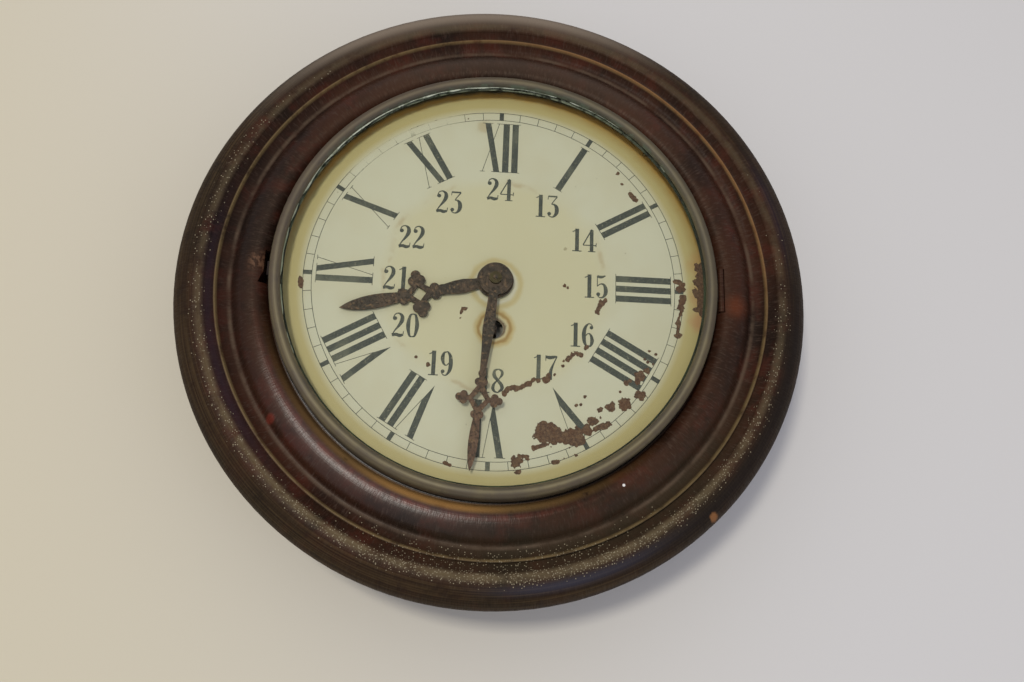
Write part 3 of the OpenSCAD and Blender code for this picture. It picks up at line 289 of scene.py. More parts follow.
    # pale dots 0.5 mm across, part open pores and part painted sparkle of light: the thinner the wear, the fewer of
    # them, most of them at the bottom
    holes = add(tree, "TexVoronoi", Vector=place, Scale=1.0 / 0.95)
    chance = add(tree, "SeparateColor", Color=holes.outputs["Color"])
    side = add(tree, "Math", operation="MAXIMUM", Value=ring(tree, angle, -1.45, 2.0),
               Value_001=spot(tree, flat, -140.0, 0.0, 30.0, 130.0, 0.35))
    worn = add(tree, "Math", operation="MULTIPLY", Value=side, Value_001=patches(tree, place, 30.0, 0.26, 0.50, 1.2))
    pore_sparkle_share = add(tree, "Math", operation="MAXIMUM", Value=ring(tree, radius, 140.8, 5.5, worn),
                    Value_001=ring(tree, radius, 134.0, 9.0, add(
                        tree, "Math", operation="MULTIPLY", Value=worn,
                        Value_001=spot(tree, flat, 10.0, -135.0, 20.0, 90.0, 0.4))))
    kept = add(tree, "Math", operation="LESS_THAN", Value=chance, Value_001=pore_sparkle_share)
    pore_sparkle_dot = add(tree, "MapRange", Value=holes, From_Min=0.36, From_Max=0.20, To_Max=kept)
    base = coats(tree, base.node, (pore_sparkle_dot, "#8B8067"))
    # the gloss has gone from the lines and the hollows
    dull = add(tree, "MapRange", Value=radius, From_Min=122.0, From_Max=130.0, To_Max=0.22)
    gloss = add(tree, "Math", Value_001=dull, Value=add(
        tree, "MapRange", Value=pores, From_Min=0.35, From_Max=0.65, To_Min=0.42, To_Max=0.64))
    # the film has sunk into the grain as ridges that lie across the ring
    ridges = add(tree, "TexNoise", Vector=turned(tree, radius, angle, 1.5, 7.0), Scale=1.0, Detail=3.0)
    relief = add(tree, "Bump", Height=pores, Distance=0.10 * MM, Normal=add(
        tree, "Bump", Height=marks, Distance=0.06 * MM, Strength=0.7, Normal=add(
            tree, "Bump", Height=ridges, Distance=0.13 * MM)))
    finish(tree, shader, base, gloss, relief)
    shader.inputs["Specular IOR Level"].default_value = 0.22
    shader.inputs["Specular Tint"].default_value = colour("#FFD8B4")
    # the film is thickest on the wide moulding, low on the left
    film = add(tree, "MapRange", To_Min=0.05, To_Max=0.75,
               Value=ring(tree, radius, 112.0, 18.0, spot(tree, flat, -55.0, -98.0, 20.0, 95.0, 1.2)))
    tree.links.new(film.outputs[0], shader.inputs["Coat Weight"])
    tree.links.new(relief.outputs[0], shader.inputs["Coat Normal"])
    shader.inputs["Coat Roughness"].default_value = 0.32
    return made


def bare_softwood():
    """Planed softwood of the back, darkened by age: brown and dull, with straight growth lines 5 mm apart."""
    made, tree, shader = new_material("bare_softwood")
    place = dial_place(tree)[0]
    grain = add(tree, "Mapping", Vector=place, Scale=(1.0, 0.3, 0.05))
    lines = add(tree, "TexWave", Vector=ragged(tree, grain, 9.0, 6.0), Scale=0.06, Distortion=2.0, Detail=2.0)
    fibres = add(tree, "TexNoise", Vector=grain, Scale=2.5, Detail=4.0)
    base = coats(tree, "#8C6A46", (lines, "#6B4A2E"), (patches(tree, grain, 0.7, 0.45, 0.7, 0.5), "#4D3522"),
                 (patches(tree, place, 30.0, 0.5, 0.72, 0.55), "#3C2B1E"))
    finish(tree, shader, base, 0.78, add(tree, "Bump", Height=fibres, Distance=0.2 * MM))
    return made


def painted_tin(colours):
    """Cream enamel paint on tin plate, yellowed by age.

    The middle and the margin are yellower than the ring of hour numerals, a brown tide line parts them, and rust
    has crept out of the holes and in from the edge.
    """
    made, tree, shader = new_material("painted_tin")
    place, flat, radius = dial_place(tree)[:3]
    wavy = add(tree, "VectorMath", operation="LENGTH", Vector=ragged(tree, flat, 18.0, 10.0))
    creep = ragged(tree, flat, 4.0, 5.0)
    upper = add(tree, "MapRange", Value=add(tree, "SeparateXYZ", Vector=place).outputs["Z"],
                From_Min=-10.0, From_Max=60.0)
    fuzzy = add(tree, "VectorMath", operation="DISTANCE", Vector=ragged(tree, flat, 6.0, 2.4),
                Vector_001=(1.0, -0.4, 0.0))
    edges = ragged(tree, flat, 5.0, 2.4)
    from_hub = add(tree, "VectorMath", operation="DISTANCE", Vector=edges, Vector_001=(0.5, -1.0, 0.0))
    from_hole = add(tree, "VectorMath", operation="DISTANCE", Vector=edges, Vector_001=(0.5, -23.5, 0.0))
    base = coats(
        tree, list(colours.paint),
        (patches(tree, place, 24.0, 0.35, 0.65, 0.6), "#E1DCBB"),
        (add(tree, "MapRange", Value=wavy, From_Min=58.0, From_Max=50.0, To_Max=0.6), "#E3DBAE"),
        (add(tree, "MapRange", Value=radius, From_Min=91.0, From_Max=95.5, To_Max=0.9), "#D2C280"),
        (ring(tree, wavy, 54.0, 2.2, patches(tree, place, 20.0, 0.5, 0.66, 0.35)), "#B08A52"),
        # a tide of ochre under the glass's edge, and painted shade beyond it at the top, deep under the bezel
        (add(tree, "MapRange", Value=fuzzy, From_Min=96.5, From_Max=101.5,
             To_Max=spot(tree, flat, 78.0, 72.0, 30.0, 100.0, 0.7)), "#C8A152"),
        (add(tree, "MapRange", Value=fuzzy, From_Min=100.2, From_Max=102.6, To_Max=upper), "#CC9E4C"),
        (add(tree, "MapRange", Value=fuzzy, From_Min=103.2, From_Max=105.0, To_Max=upper), "#4B4629"),
        # stains round the hub and the winding hole, with a brown edge and rust at the hole
        (ring(tree, from_hub, 12.0, 2.6, 0.6), "#D3BC74"), (ring(tree, from_hub, 9.4, 1.4, 0.5), "#F0EDDC"),
        (ring(tree, from_hole, 8.0, 3.2, 0.75), "#D0B264"), (ring(tree, from_hole, 7.6, 1.3, 0.7), "#A37A3A"),
        (ring(tree, from_hole, 5.0, 1.4, 0.9), "#5E4226"),
        # orange rust that creeps in from the right edge, and two small stains
        (spot(tree, creep, 103.0, -2.0, 4.0, 11.0, 0.5), "#C98B58"),
        (spot(tree, creep, 101.5, -15.0, 3.0, 9.0, 0.8), "#D2A070"),
        (spot(tree, creep, 101.5, 15.0, 3.0, 10.0, 0.6), "#CFA468"),
        (spot(tree, creep, -9.0, 84.0, 1.0, 5.0, 0.4), "#B99A5C"),
        (spot(tree, creep, 34.0, 20.0, 0.6, 1.2, 0.5), "#8A7A55"))
    # fly specks 0.5 mm across
    specks = add(tree, "TexVoronoi", Vector=place, Scale=1.0 / 9.0)
    base = coats(tree, base.node,
                 (add(tree, "MapRange", Value=specks, From_Min=0.04, From_Max=0.02, To_Max=0.6), "#6A583A"))
    dust = add(tree, "TexNoise", Vector=place, Scale=1.0 / 1.2, Detail=3.0)
    relief = add(tree, "Bump", Height=add(tree, "TexNoise", Vector=place, Scale=1.0 / 30.0), Distance=0.3 * MM,
                 Normal=add(tree, "Bump", Height=dust, Distance=0.015 * MM))
    finish(tree, shader, base, add(tree, "MapRange", Value=dust, From_Min=0.3, From_Max=0.7, To_Min=0.42, To_Max=0.6),
           relief)
    return made


def printing_ink(colours):
    """Printing ink on the dial: matt and grey green with age, rubbed thin in places and almost gone at the upper
    left."""
    made, tree, shader = new_material("printing_ink")
    place, flat, radius = dial_place(tree)[:3]
    # the track has gone between ten and twelve
    gone = ring(tree, radius, 91.0, 9.0, spot(tree, flat, -50.0, 76.0, 24.0, 46.0))
    base = coats(tree, list(colours.ink), (patches(tree, place, 0.9, 0.40, 0.72, 0.4), "#7B7E6C"),
                 (patches(tree, place, 26.0, 0.52, 0.70, 0.5), "#8A8C76"))
    finish(tree, shader, base, 0.6,
           add(tree, "Bump", Height=add(tree, "TexNoise", Vector=place, Scale=1.0), Distance=0.01 * MM))
    rubbed = add(tree, "Math", operation="MAXIMUM", Value=patches(tree, place, 1.4, 0.56, 0.64, 0.45),
                 Value_001=add(tree, "Math", operation="MULTIPLY", Value=gone,
                               Value_001=patches(tree, place, 5.0, 0.30, 0.46)))
    print_or_paint = add(tree, "MixShader", Fac=rubbed, Shader=shader, Shader_001=add(tree, "BsdfTransparent"))
    tree.links.new(print_or_paint.outputs[0], tree.nodes["Material Output"].inputs[0])
    return made


def bared_tin():
    """Tin plate where the paint has come away: brown rust, with the broken edge of the paint darker."""
    made, tree, shader = new_material("bared_tin")
    place = dial_place(tree)[0]
    depth = add(tree, "Attribute", attribute_name="depth").outputs["Fac"]
    grain = add(tree, "TexNoise", Vector=place, Scale=1.0 / 1.1, Detail=4.0, Roughness=0.65)
    edge = add(tree, "MapRange", Value=depth, From_Min=0.14, From_Max=0.0, To_Max=0.45)
    base = coats(tree, "#5E4739", (patches(tree, place, 1.3, 0.35, 0.68), "#84694F"),
                 (patches(tree, place, 5.0, 0.45, 0.68, 0.6), "#6E4C36"), (edge, "#463024"))
    finish(tree, shader, base, 0.8, add(tree, "Bump", Height=grain, Distance=0.08 * MM))
    return made


def tarnished_brass(colours):
    """Spun brass left unpolished: brown grey tarnish over metal, with a painted highlight line on the crest and
    painted shade around it, the lathe's rings 0.4 mm apart and green verdigris at the glass."""
    made, tree, shader = new_material("tarnished_brass")
    place, flat, radius, angle = dial_place(tree)
    marks = add(tree, "TexNoise", Vector=turned(tree, radius, angle, 40.0, 0.4), Scale=1.0, Detail=2.0)
    base = coats(
        tree, list(colours.brass),
        (patches(tree, place, 14.0, 0.38, 0.64, 0.7), "#4C4335"),
        (patches(tree, place, 3.0, 0.55, 0.72, 0.3), "#352C22"),
        # painted light and shade on the bezel's round profile: shade inside the crest, a highlight line on it and
        # shade outside it; painted shade at its upper right, its upper left and its outer edge
        (ring(tree, radius, 102.3, 1.1, 0.5), "#443C2E"), (ring(tree, radius, 103.6, 0.9, 0.4), "#7F7456"),
        (ring(tree, radius, 105.2, 1.3, 0.7), "#4C3F2B"),
        (spot(tree, flat, 80.0, 65.0, 50.0, 115.0, 0.4), "#463E2A"),
        (spot(tree, flat, -85.0, 70.0, 50.0, 120.0, 0.5), "#4E4034"),
        (add(tree, "MapRange", Value=radius, From_Min=105.8, From_Max=106.8, To_Max=0.6), "#332A1E"),
        (ring(tree, radius, 101.2, 1.6, spot(tree, flat, -5.0, 110.0, 50.0, 120.0, 0.7)), "#34362A"),
        (ring(tree, radius, 101.4, 1.4, add(tree, "Math", operation="MULTIPLY",
                                            Value=patches(tree, place, 7.0, 0.45, 0.62, 0.7),
                                            Value_001=spot(tree, flat, 0.0, 110.0, 60.0, 150.0))), "#55604A"))
    gloss = add(tree, "MapRange", Value=marks, From_Min=0.3, From_Max=0.7, To_Min=0.46, To_Max=0.70)
    finish(tree, shader, base, gloss, add(tree, "Bump", Height=marks, Distance=0.04 * MM))
    shader.inputs["Metallic"].default_value = 0.2
    return made


def window_glass():
    """Drawn sheet glass: clear, a little grey with dust, with a soft mirror on its slightly wavy faces."""
    made, tree, shader = new_material("window_glass")
    tree.nodes.remove(shader)
    place = dial_place(tree)[0]
    waves = add(tree, "Bump", Distance=0.05 * MM,
                Height=add(tree, "TexNoise", Vector=place, Scale=1.0 / 70.0, Detail=1.0))
    # the mirror is only where light enters, or the inner faces would show the dark at a slant
    outside = add(tree, "Math", operation="SUBTRACT", Value=1.0,
                  Value_001=add(tree, "NewGeometry").outputs["Backfacing"])
    mirror = add(tree, "Math", operation="MULTIPLY", Value=add(tree, "Fresnel", IOR=1.5, Normal=waves),
                 Value_001=outside)
    pane = add(tree, "MixShader", Fac=mirror,
               Shader=add(tree, "BsdfTransparent", Color=colour("#F5F5F2")),
               Shader_001=add(tree, "BsdfGlossy", Color=colour("#6B675D"), Roughness=0.09, Normal=waves))
    tree.links.new(pane.outputs[0], tree.nodes["Material Output"].inputs[0])
    return made


def linseed_putty(name, dirt, pale):
    """Hardened linseed putty: matt, cracked and thumbed, green brown with dirt; the near-black ground given for the
    putty behind the glass is dirt and painted shade of the recess under the bezel. It is pale at the top, where least
    dirt has settled."""
    made, tree, shader = new_material(name)
    place, flat = dial_place(tree)[:2]
    lumps = add(tree, "TexNoise", Vector=place, Scale=1.0 / 3.0, Detail=4.0)
    clean = add(tree, "Math", operation="MULTIPLY", Value=patches(tree, place, 4.0, 0.40, 0.54),
                Value_001=spot(tree, flat, -25.0, 98.0, 50.0, 120.0))
    base = coats(tree, dirt, (patches(tree, place, 9.0, 0.45, 0.65, 0.6), "#4A5638"), (clean, pale),
                 (patches(tree, place, 7.0, 0.58, 0.66, 0.8), "#26261C"))
    finish(tree, shader, base, 0.85, add(tree, "Bump", Height=lumps, Distance=0.5 * MM))
    return made


def rusty_steel():
    """Sawn steel sheet of the hands: once blued, now an even brown rust with darker pits and rubbed spots."""
    made, tree, shader = new_material("rusty_steel")
    place, flat = dial_place(tree)[:2]
    pits = add(tree, "TexNoise", Vector=place, Scale=1.0, Detail=5.0, Roughness=0.7)
    base = coats(tree, "#443E35", (patches(tree, place, 8.0, 0.38, 0.62), "#5D4E40"),
                 (spot(tree, flat, -9.0, -85.0, 20.0, 50.0, 0.6), "#7A5A47"),
                 (patches(tree, place, 1.2, 0.48, 0.62, 0.8), "#2E261C"),
                 (patches(tree, place, 1.7, 0.54, 0.66, 0.7), "#8C7154"))
    finish(tree, shader, base, add(tree, "MapRange", Value=pits, From_Min=0.3, From_Max=0.7, To_Min=0.42, To_Max=0.7),
           add(tree, "Bump", Height=pits, Distance=0.12 * MM))
    shader.inputs["Metallic"].default_value = 0.35
    return made


def machined_metal(name, light, dark, roughness, metallic=1.0, stain=0.5):
    """Rolled, turned or filed metal of the movement and the screws, with fine file marks and some dulling."""
    made, tree, shader = new_material(name)
    place = dial_place(tree)[0]
    marks = add(tree, "TexNoise", Scale=2.0, Detail=2.0,
                Vector=add(tree, "Mapping", Vector=place, Scale=(0.15, 1.0, 4.0)))
    dulled = patches(tree, place, 7.0, 0.4, 0.68)
    base = coats(tree, light, (patches(tree, place, 7.0, 0.42, 0.7, stain), dark))
    gloss = add(tree, "MapRange", Value=dulled, To_Min=roughness, To_Max=roughness + 0.2)
    finish(tree, shader, base, gloss, add(tree, "Bump", Height=marks, Distance=0.03 * MM, Strength=0.6))
    shader.inputs["Metallic"].default_value = metallic
    return made


# ---- printing on the dial ----

def stroke(path, steps=7):
    """A pen stroke as a strip of quads: path holds (x, y, width), joined by a smooth curve."""
    knots = np.array(path, float)
    if len(knots) > 2:
        ends = np.vstack([2 * knots[0] - knots[1], knots, 2 * knots[-1] - knots[-2]])
        line = []
        for a, b, c, d in zip(ends, ends[1:], ends[2:], ends[3:]):
            for t in np.arange(steps) / steps:
                line.append(0.5 * (2 * b + (c - a) * t + (2 * a - 5 * b + 4 * c - d) * t ** 2
                                   + (3 * b - a - 3 * c + d) * t ** 3))
        knots = np.array(line + [knots[-1]])
    along = np.gradient(knots[:, :2], axis=0)
    side = np.stack([-along[:, 1], along[:, 0]], 1) / np.linalg.norm(along, axis=1, keepdims=True)
    half = np.maximum(knots[:, 2:], 0.004) / 2
    left, right = knots[:, :2] + side * half, knots[:, :2] - side * half
    return [[left[i], left[i + 1], right[i + 1], right[i]] for i in range(len(knots) - 1)]


def ball(x, y, r, sides=14):
    """A round dot."""
    return [[(x + r * math.cos(a), y + r * math.sin(a)) for a in np.arange(sides) * 2 * math.pi / sides]]


def digit(mark):
    """The polygons of one digit of a fat faced letter, one unit high and about half a unit wide."""
    if mark == "0":
        return [q for s in (-1, 1) for q in stroke([(0.27, 0.975, 0.045), (0.27 + s * 0.11, 0.9, 0.09),
                (0.27 + s * 0.175, 0.5, 0.16), (0.27 + s * 0.11, 0.1, 0.09), (0.27, 0.025, 0.045)])]
    if mark == "1":
        return (stroke([(0.27, 0.0, 0.16), (0.27, 1.0, 0.16)]) + stroke([(0.08, 0.02, 0.045), (0.46, 0.02, 0.045)])
                + stroke([(0.27, 0.97, 0.05), (0.17, 0.9, 0.045), (0.08, 0.86, 0.04)]))
    if mark == "2":
        return (ball(0.125, 0.76, 0.085) + stroke([(0.06, 0.8, 0.03), (0.13, 0.93, 0.045), (0.26, 0.975, 0.06),
                (0.39, 0.88, 0.13), (0.41, 0.7, 0.16), (0.32, 0.5, 0.12), (0.17, 0.29, 0.06), (0.06, 0.1, 0.04)])
                + stroke([(0.04, 0.07, 0.13), (0.2, 0.1, 0.13), (0.34, 0.06, 0.14), (0.46, 0.09, 0.1)])
                + stroke([(0.47, 0.05, 0.035), (0.49, 0.24, 0.035)]))
    if mark == "3":
        return (stroke([(0.08, 0.95, 0.075), (0.46, 0.95, 0.075)]) + stroke([(0.085, 0.97, 0.03), (0.07, 0.8, 0.03)])
                + stroke([(0.45, 0.93, 0.05), (0.33, 0.77, 0.045), (0.22, 0.6, 0.04)])
                + stroke([(0.22, 0.6, 0.04), (0.34, 0.58, 0.09), (0.43, 0.45, 0.16), (0.43, 0.22, 0.16),
                          (0.32, 0.05, 0.08), (0.19, 0.03, 0.045), (0.09, 0.11, 0.04)]) + ball(0.13, 0.17, 0.08))
    if mark == "4":
        return (stroke([(0.38, 1.0, 0.05), (0.02, 0.3, 0.05)]) + stroke([(0.02, 0.29, 0.045), (0.56, 0.29, 0.045)])
                + stroke([(0.37, 0.0, 0.15), (0.37, 0.97, 0.15)]) + stroke([(0.22, 0.02, 0.04), (0.53, 0.02, 0.04)])
                + stroke([(0.55, 0.23, 0.035), (0.56, 0.4, 0.035)]))
    if mark == "5":
        return (stroke([(0.1, 0.93, 0.11), (0.25, 0.91, 0.12), (0.42, 0.97, 0.05)])
                + stroke([(0.09, 0.97, 0.035), (0.09, 0.5, 0.035)])
                + stroke([(0.09, 0.51, 0.04), (0.22, 0.61, 0.05), (0.36, 0.58, 0.1), (0.43, 0.4, 0.16),
                          (0.42, 0.2, 0.15), (0.32, 0.05, 0.08), (0.19, 0.03, 0.045), (0.09, 0.11, 0.04)])
                + ball(0.13, 0.17, 0.08))
    if mark in "69":
        parts = (stroke([(0.46, 0.84, 0.03), (0.38, 0.96, 0.045), (0.26, 0.96, 0.06), (0.14, 0.78, 0.13),
                         (0.1, 0.5, 0.16), (0.13, 0.2, 0.13), (0.22, 0.04, 0.07), (0.28, 0.025, 0.045)])
                 + stroke([(0.28, 0.025, 0.045), (0.38, 0.08, 0.09), (0.43, 0.28, 0.15), (0.38, 0.5, 0.09),
                           (0.28, 0.57, 0.045), (0.17, 0.48, 0.045)]) + ball(0.4, 0.82, 0.075))
        return parts if mark == "6" else [[(0.54 - p[0], 1.0 - p[1]) for p in q] for q in parts]
    if mark == "7":
        return (stroke([(0.04, 0.93, 0.1), (0.2, 0.9, 0.14), (0.36, 0.93, 0.12), (0.49, 0.96, 0.05)])
                + stroke([(0.05, 0.99, 0.035), (0.05, 0.76, 0.03)])
                + stroke([(0.49, 0.96, 0.04), (0.37, 0.68, 0.06), (0.26, 0.38, 0.12), (0.22, 0.0, 0.17)]))
    return (stroke([(0.27, 0.975, 0.05), (0.13, 0.9, 0.1), (0.12, 0.7, 0.15), (0.25, 0.53, 0.12), (0.4, 0.35, 0.14),
                    (0.43, 0.18, 0.13), (0.27, 0.025, 0.05)])
            + stroke([(0.27, 0.975, 0.05), (0.4, 0.9, 0.1), (0.42, 0.76, 0.11), (0.3, 0.57, 0.05),
                      (0.14, 0.4, 0.08), (0.08, 0.22, 0.13), (0.14, 0.08, 0.09), (0.27, 0.025, 0.05)]))


def roman(text, foot, head, bar, hair):
    """The polygons of an hour numeral that stands on radius foot, with its base to the dial's centre."""
    pitch, wide = bar + (1.9 if "III" in text else 1.4), {"I": bar, "V": 9.9, "X": 9.2}
    start, places = 0.0, []
    for i, mark in enumerate(text):
        places.append(start + wide[mark] / 2)
        start += wide[mark] + (pitch - bar if text[i:i + 2] == "II" else 0.9)
    shift = (start - 0.9) / 2 - NUDGE.get(text, 0.0)
    made = []
    for mark, middle in zip(text, places):
        m = middle - shift
        if mark == "I":
            made += stroke([(m, foot, bar), (m, head, bar)])
            feet, heads = [(m, bar)], [(m, bar)]
        elif mark == "V":
            made += [[(m + 0.4, foot), (m + 1.76, foot + 8.9), (m - 1.85, head), (m - 4.95, head)]]
            made += stroke([(m + 1.7, foot + 8.7, hair), (m + 4.6, head, hair)])
            feet, heads = [], [(m - 3.4, bar), (m + 4.6, 0.4)]
        else:
            made += [[(m + 1.2, foot), (m + 4.2, foot), (m - 0.9, head), (m - 3.9, head)]]
            made += stroke([(m - 4.4, foot, hair), (m + 3.4, head, hair)])
            feet, heads = [(m + 2.7, bar), (m - 4.4, 0.4)], [(m - 2.4, bar), (m + 3.4, 0.4)]
        for level, ends in ((foot, feet), (head, heads)):
            for at, width in ends:
                made += stroke([(at - width / 2 - 1.0, level, hair), (at + width / 2 + 1.0, level, hair)])
    return made


# how far a numeral stands clockwise of its hour, mm
NUDGE = {"IX": 2.6, "XI": 0.6}
NUMERALS = ("XII", "I", "II", "III", "IIII", "V", "VI", "VII", "VIII", "IX", "X", "XI")
# digit pairs and where their middles stand, mm
INNER_HOURS = ((13, 24.3, 41.8), (14, 42.8, 24.5), (15, 49.2, 0.6), (16, 42.8, -24.6), (17, 25.4, -41.6),
               (18, 0.4, -49.4), (19, -24.2, -42.2), (20, -41.6, -24.2), (21, -47.8, -0.6), (22, -41.4, 21.2),
               (23, -24.2, 41.0), (24, 0.6, 49.4))


def printed_shapes(sizes):
    """All that is printed on the dial, as polygons in millimetres."""
    inner, outer, hair = sizes.track_inner / MM, sizes.track_outer / MM, sizes.hairline / MM
    foot, head, bar, tall = (v / MM for v in (sizes.numeral_foot, sizes.numeral_head, sizes.bar, sizes.digit_height))
    made = []
    round_steps = np.arange(361) * math.pi / 180
    for r in (inner, outer):
        made += stroke([(r * math.sin(a), r * math.cos(a), hair) for a in round_steps], 1)
    for minute in range(60):
        a, width = minute * math.pi / 30, 2.2 if minute % 5 == 0 else hair
        reach = 0.2 if minute % 5 == 0 else 0.0
        made += stroke([(r * math.sin(a), r * math.cos(a), width) for r in (inner, outer + reach)])
    for hour, text in enumerate(NUMERALS):
        c, s = math.cos(hour * math.pi / 6), math.sin(hour * math.pi / 6)
        for shape in roman(text, foot, head, bar, hair):
            made.append([(p[0] * c + p[1] * s, p[1] * c - p[0] * s) for p in shape])
    for number, x, y in INNER_HOURS:
        marks = str(number)
        steps = [0.5 if mark == "1" else 0.56 for mark in marks]
        left = x - sum(steps) * tall / 2
        for mark, step in zip(marks, steps):
            made += [[(left + p[0] * tall, y + (p[1] - 0.5) * tall) for p in q] for q in digit(mark)]
            left += step * tall
    return made


# ---- flaked paint ----

# where paint has come away: paths on the dial and how far the loss reaches from them, mm
FLAKES = (
    (((26, -72.8), (29, -74)), 4.9), (((32.3, -74.7),), 3.4), (((37.7, -74.9), (41.2, -74.3)), 4.0),
    (((45.5, -71),), 2.7), (((48.6, -66.8),), 2.3), (((50, -70.2), (55.3, -67.9)), 1.7),
    (((21.4, -80.7), (27, -78.7)), 1.1), (((26.2, -68.6),), 0.9), (((52.1, -64.7),), 0.9), (((51.7, -60.9),), 1.2),
    (((56.4, -59.6),), 2.3), (((63.5, -57.3),), 3.1), (((63.1, -60.1),), 1.5), (((70.7, -53.3),), 2.3),
    (((44.4, -55),), 0.6), (((40.6, -59.4),), 0.7), (((42.7, -58.9),), 0.6), (((61.1, -51.7),), 0.7),
    (((6.4, -55.7), (8.3, -52.8), (13, -52.5), (17.6, -50.3), (19.8, -48.1)), 1.2), (((22.5, -48.6),), 1.2),
    (((25.8, -47.4),), 1.9), (((27, -45.7),), 1.2), (((29.7, -45.2),), 0.9), (((34, -40.2),), 0.8),
    (((34.1, -38.4),), 0.6), (((36.3, -37.4), (39.5, -34), (42.7, -34.6)), 1.2), (((45, -30.8),), 1.3),
    (((12.6, -88.1),), 2.6), (((11.6, -86),), 1.3), (((14.8, -87.2),), 1.5), (((14.2, -92.3),), 1.3),
    (((14.4, -84.6), (17.8, -84.8)), 1.0), (((18.3, -85.9),), 0.8), (((29.8, -87), (32.5, -86.4)), 1.0),
    (((35.2, -84.9),), 0.5), (((40.8, -83.1),), 1.0), (((60.1, 62.3),), 1.0), (((62.2, 56.4),), 0.9),
    (((66.5, 51.4), (68.6, 48.2)), 1.5), (((89.5, 5),), 1.7), (((91.1, 1.6),), 2.1),
    (((92.1, -2.7), (90.9, -9.2)), 1.4), (((89.4, -16.2),), 1.7), (((89.1, -22.5),), 1.9),
    (((90.9, -9.2), (89.4, -16.2), (89.3, -22.5)), 0.9), (((92.4, 3.8),), 1.0),
    (((53.7, -6.6), (51.5, -8.9), (50.1, -12.4)), 1.2), (((52.5, -7.5),), 1.5), (((71.1, -43.9),), 2.7),
    (((69.5, -46.4),), 1.8), (((73.9, -40.9),), 1.5), (((77, -37.6),), 1.0), (((74.4, -36.7),), 1.0),
    (((73, -35.2),), 0.7), (((75.2, -31.2),), 0.6), (((78.5, -32.6),), 0.6), (((64.2, -47.7),), 1.2),
    (((65.9, -46.4),), 0.8),
    (((-12.9, -14.0), (-15.0, -14.6), (-15.8, -16.6)), 0.75), (((-16.0, -19.3),), 0.7), (((-15.4, -12.4),), 0.45),
    (((-35.8, -40),), 0.7), (((-29.5, -43),), 1.1), (((-19.8, -89.4), (-17.2, -90.3)), 0.7),
    (((34, 0),), 0.9), (((35.5, -0.6),), 0.7), (((-93, -3.5), (-92.5, -7.5)), 1.0), (((-17, 88),), 0.7))
# where the edge of the dial has rusted and lifted
RUSTED = ((((101.3, -10.0), (101.3, 0.0), (100.6, 14.0)), 2.2), (((99.6, -9.4), (98.2, -8.8)), 1.4),
          (((100.5, -4.8),), 1.6), (((99.8, -1.0), (98.3, 0.5)), 2.2), (((100.0, 4.6), (98.8, 5.4)), 1.5),
          (((99.8, 9.0),), 1.6))


def cloud(x, y, size, seed):
    """Smooth noise from -1 to 1 with features about `size` mm across, from a seeded lattice."""
    cells = 97
    lattice = np.random.default_rng(seed).random((cells, cells)) * 2 - 1
    gx, gy = x / size, y / size
    ix, iy = np.floor(gx).astype(int), np.floor(gy).astype(int)
    fx, fy = gx - ix, gy - iy
    fx, fy = fx * fx * (3 - 2 * fx), fy * fy * (3 - 2 * fy)
    at = lambda a, b: lattice[a % cells, b % cells]
    low = at(ix, iy) * (1 - fx) + at(ix + 1, iy) * fx
    high = at(ix, iy + 1) * (1 - fx) + at(ix + 1, iy + 1) * fx
    return low * (1 - fy) + high * fy


def ragged_patches(spots, seed):
    """Patches round the spots, cut by noise: points with their depth inside the edge, and faces."""
    step, reach = 0.3, 104
    lines = np.arange(-reach, reach + step, step)
    x, y = np.meshgrid(lines, lines, indexing="ij")
    field = np.full(x.shape, -9.0)
    for path, reach in spots:
        ends = [np.array(p, float) for p in path] * (2 if len(path) == 1 else 1)
        for a, b in zip(ends, ends[1:]):
            span = b - a
            t = np.clip(((x - a[0]) * span[0] + (y - a[1]) * span[1]) / max(span @ span, 1e-9), 0, 1)
            away = np.hypot(x - a[0] - t * span[0], y - a[1] - t * span[1])
            field = np.maximum(field, (reach - away) / (0.6 + reach * 0.5))
    field += 0.46 * cloud(x, y, 1.7, seed) + 0.30 * cloud(x, y, 0.7, seed + 1)
    points, faces, seen = [], [], {}

    def corner(key, place, depth):
        if key not in seen:
            seen[key] = len(points)
            points.append((place[0], place[1], 0.0, depth))
        return seen[key]

    inside = field > 0
    near_edge = inside[:-1, :-1] | inside[1:, :-1] | inside[1:, 1:] | inside[:-1, 1:]
    for i, j in zip(*np.nonzero(near_edge)):
        cell = ((i, j), (i + 1, j), (i + 1, j + 1), (i, j + 1))
        face = []
        for a, b in zip(cell, cell[1:] + cell[:1]):
            fa, fb = field[a], field[b]
            if fa > 0:
                face.append(corner(a, (lines[a[0]], lines[a[1]]), fa))
            if (fa > 0) != (fb > 0):
                t = fa / (fa - fb)
                place = (lines[a[0]] + t * (lines[b[0]] - lines[a[0]]), lines[a[1]] + t * (lines[b[1]] - lines[a[1]]))
                face.append(corner((min(a, b), max(a, b)), place, 0.0))
        if len(face) > 2:
            faces.append(face)
    return points, faces


def add_patches(name, spots, material, seed):
    """A mesh of ragged patches on the dial, with their depth as an attribute."""
    points, faces = ragged_patches(spots, seed)
    made = add_mesh(name, [p[:3] for p in points], faces, material, "case", FLAKE_LIFT)
    layer = made.data.attributes.new("depth", "FLOAT", "POINT")
    layer.data.foreach_set("value", [p[3] for p in points])
    return made


# ---- operators ----

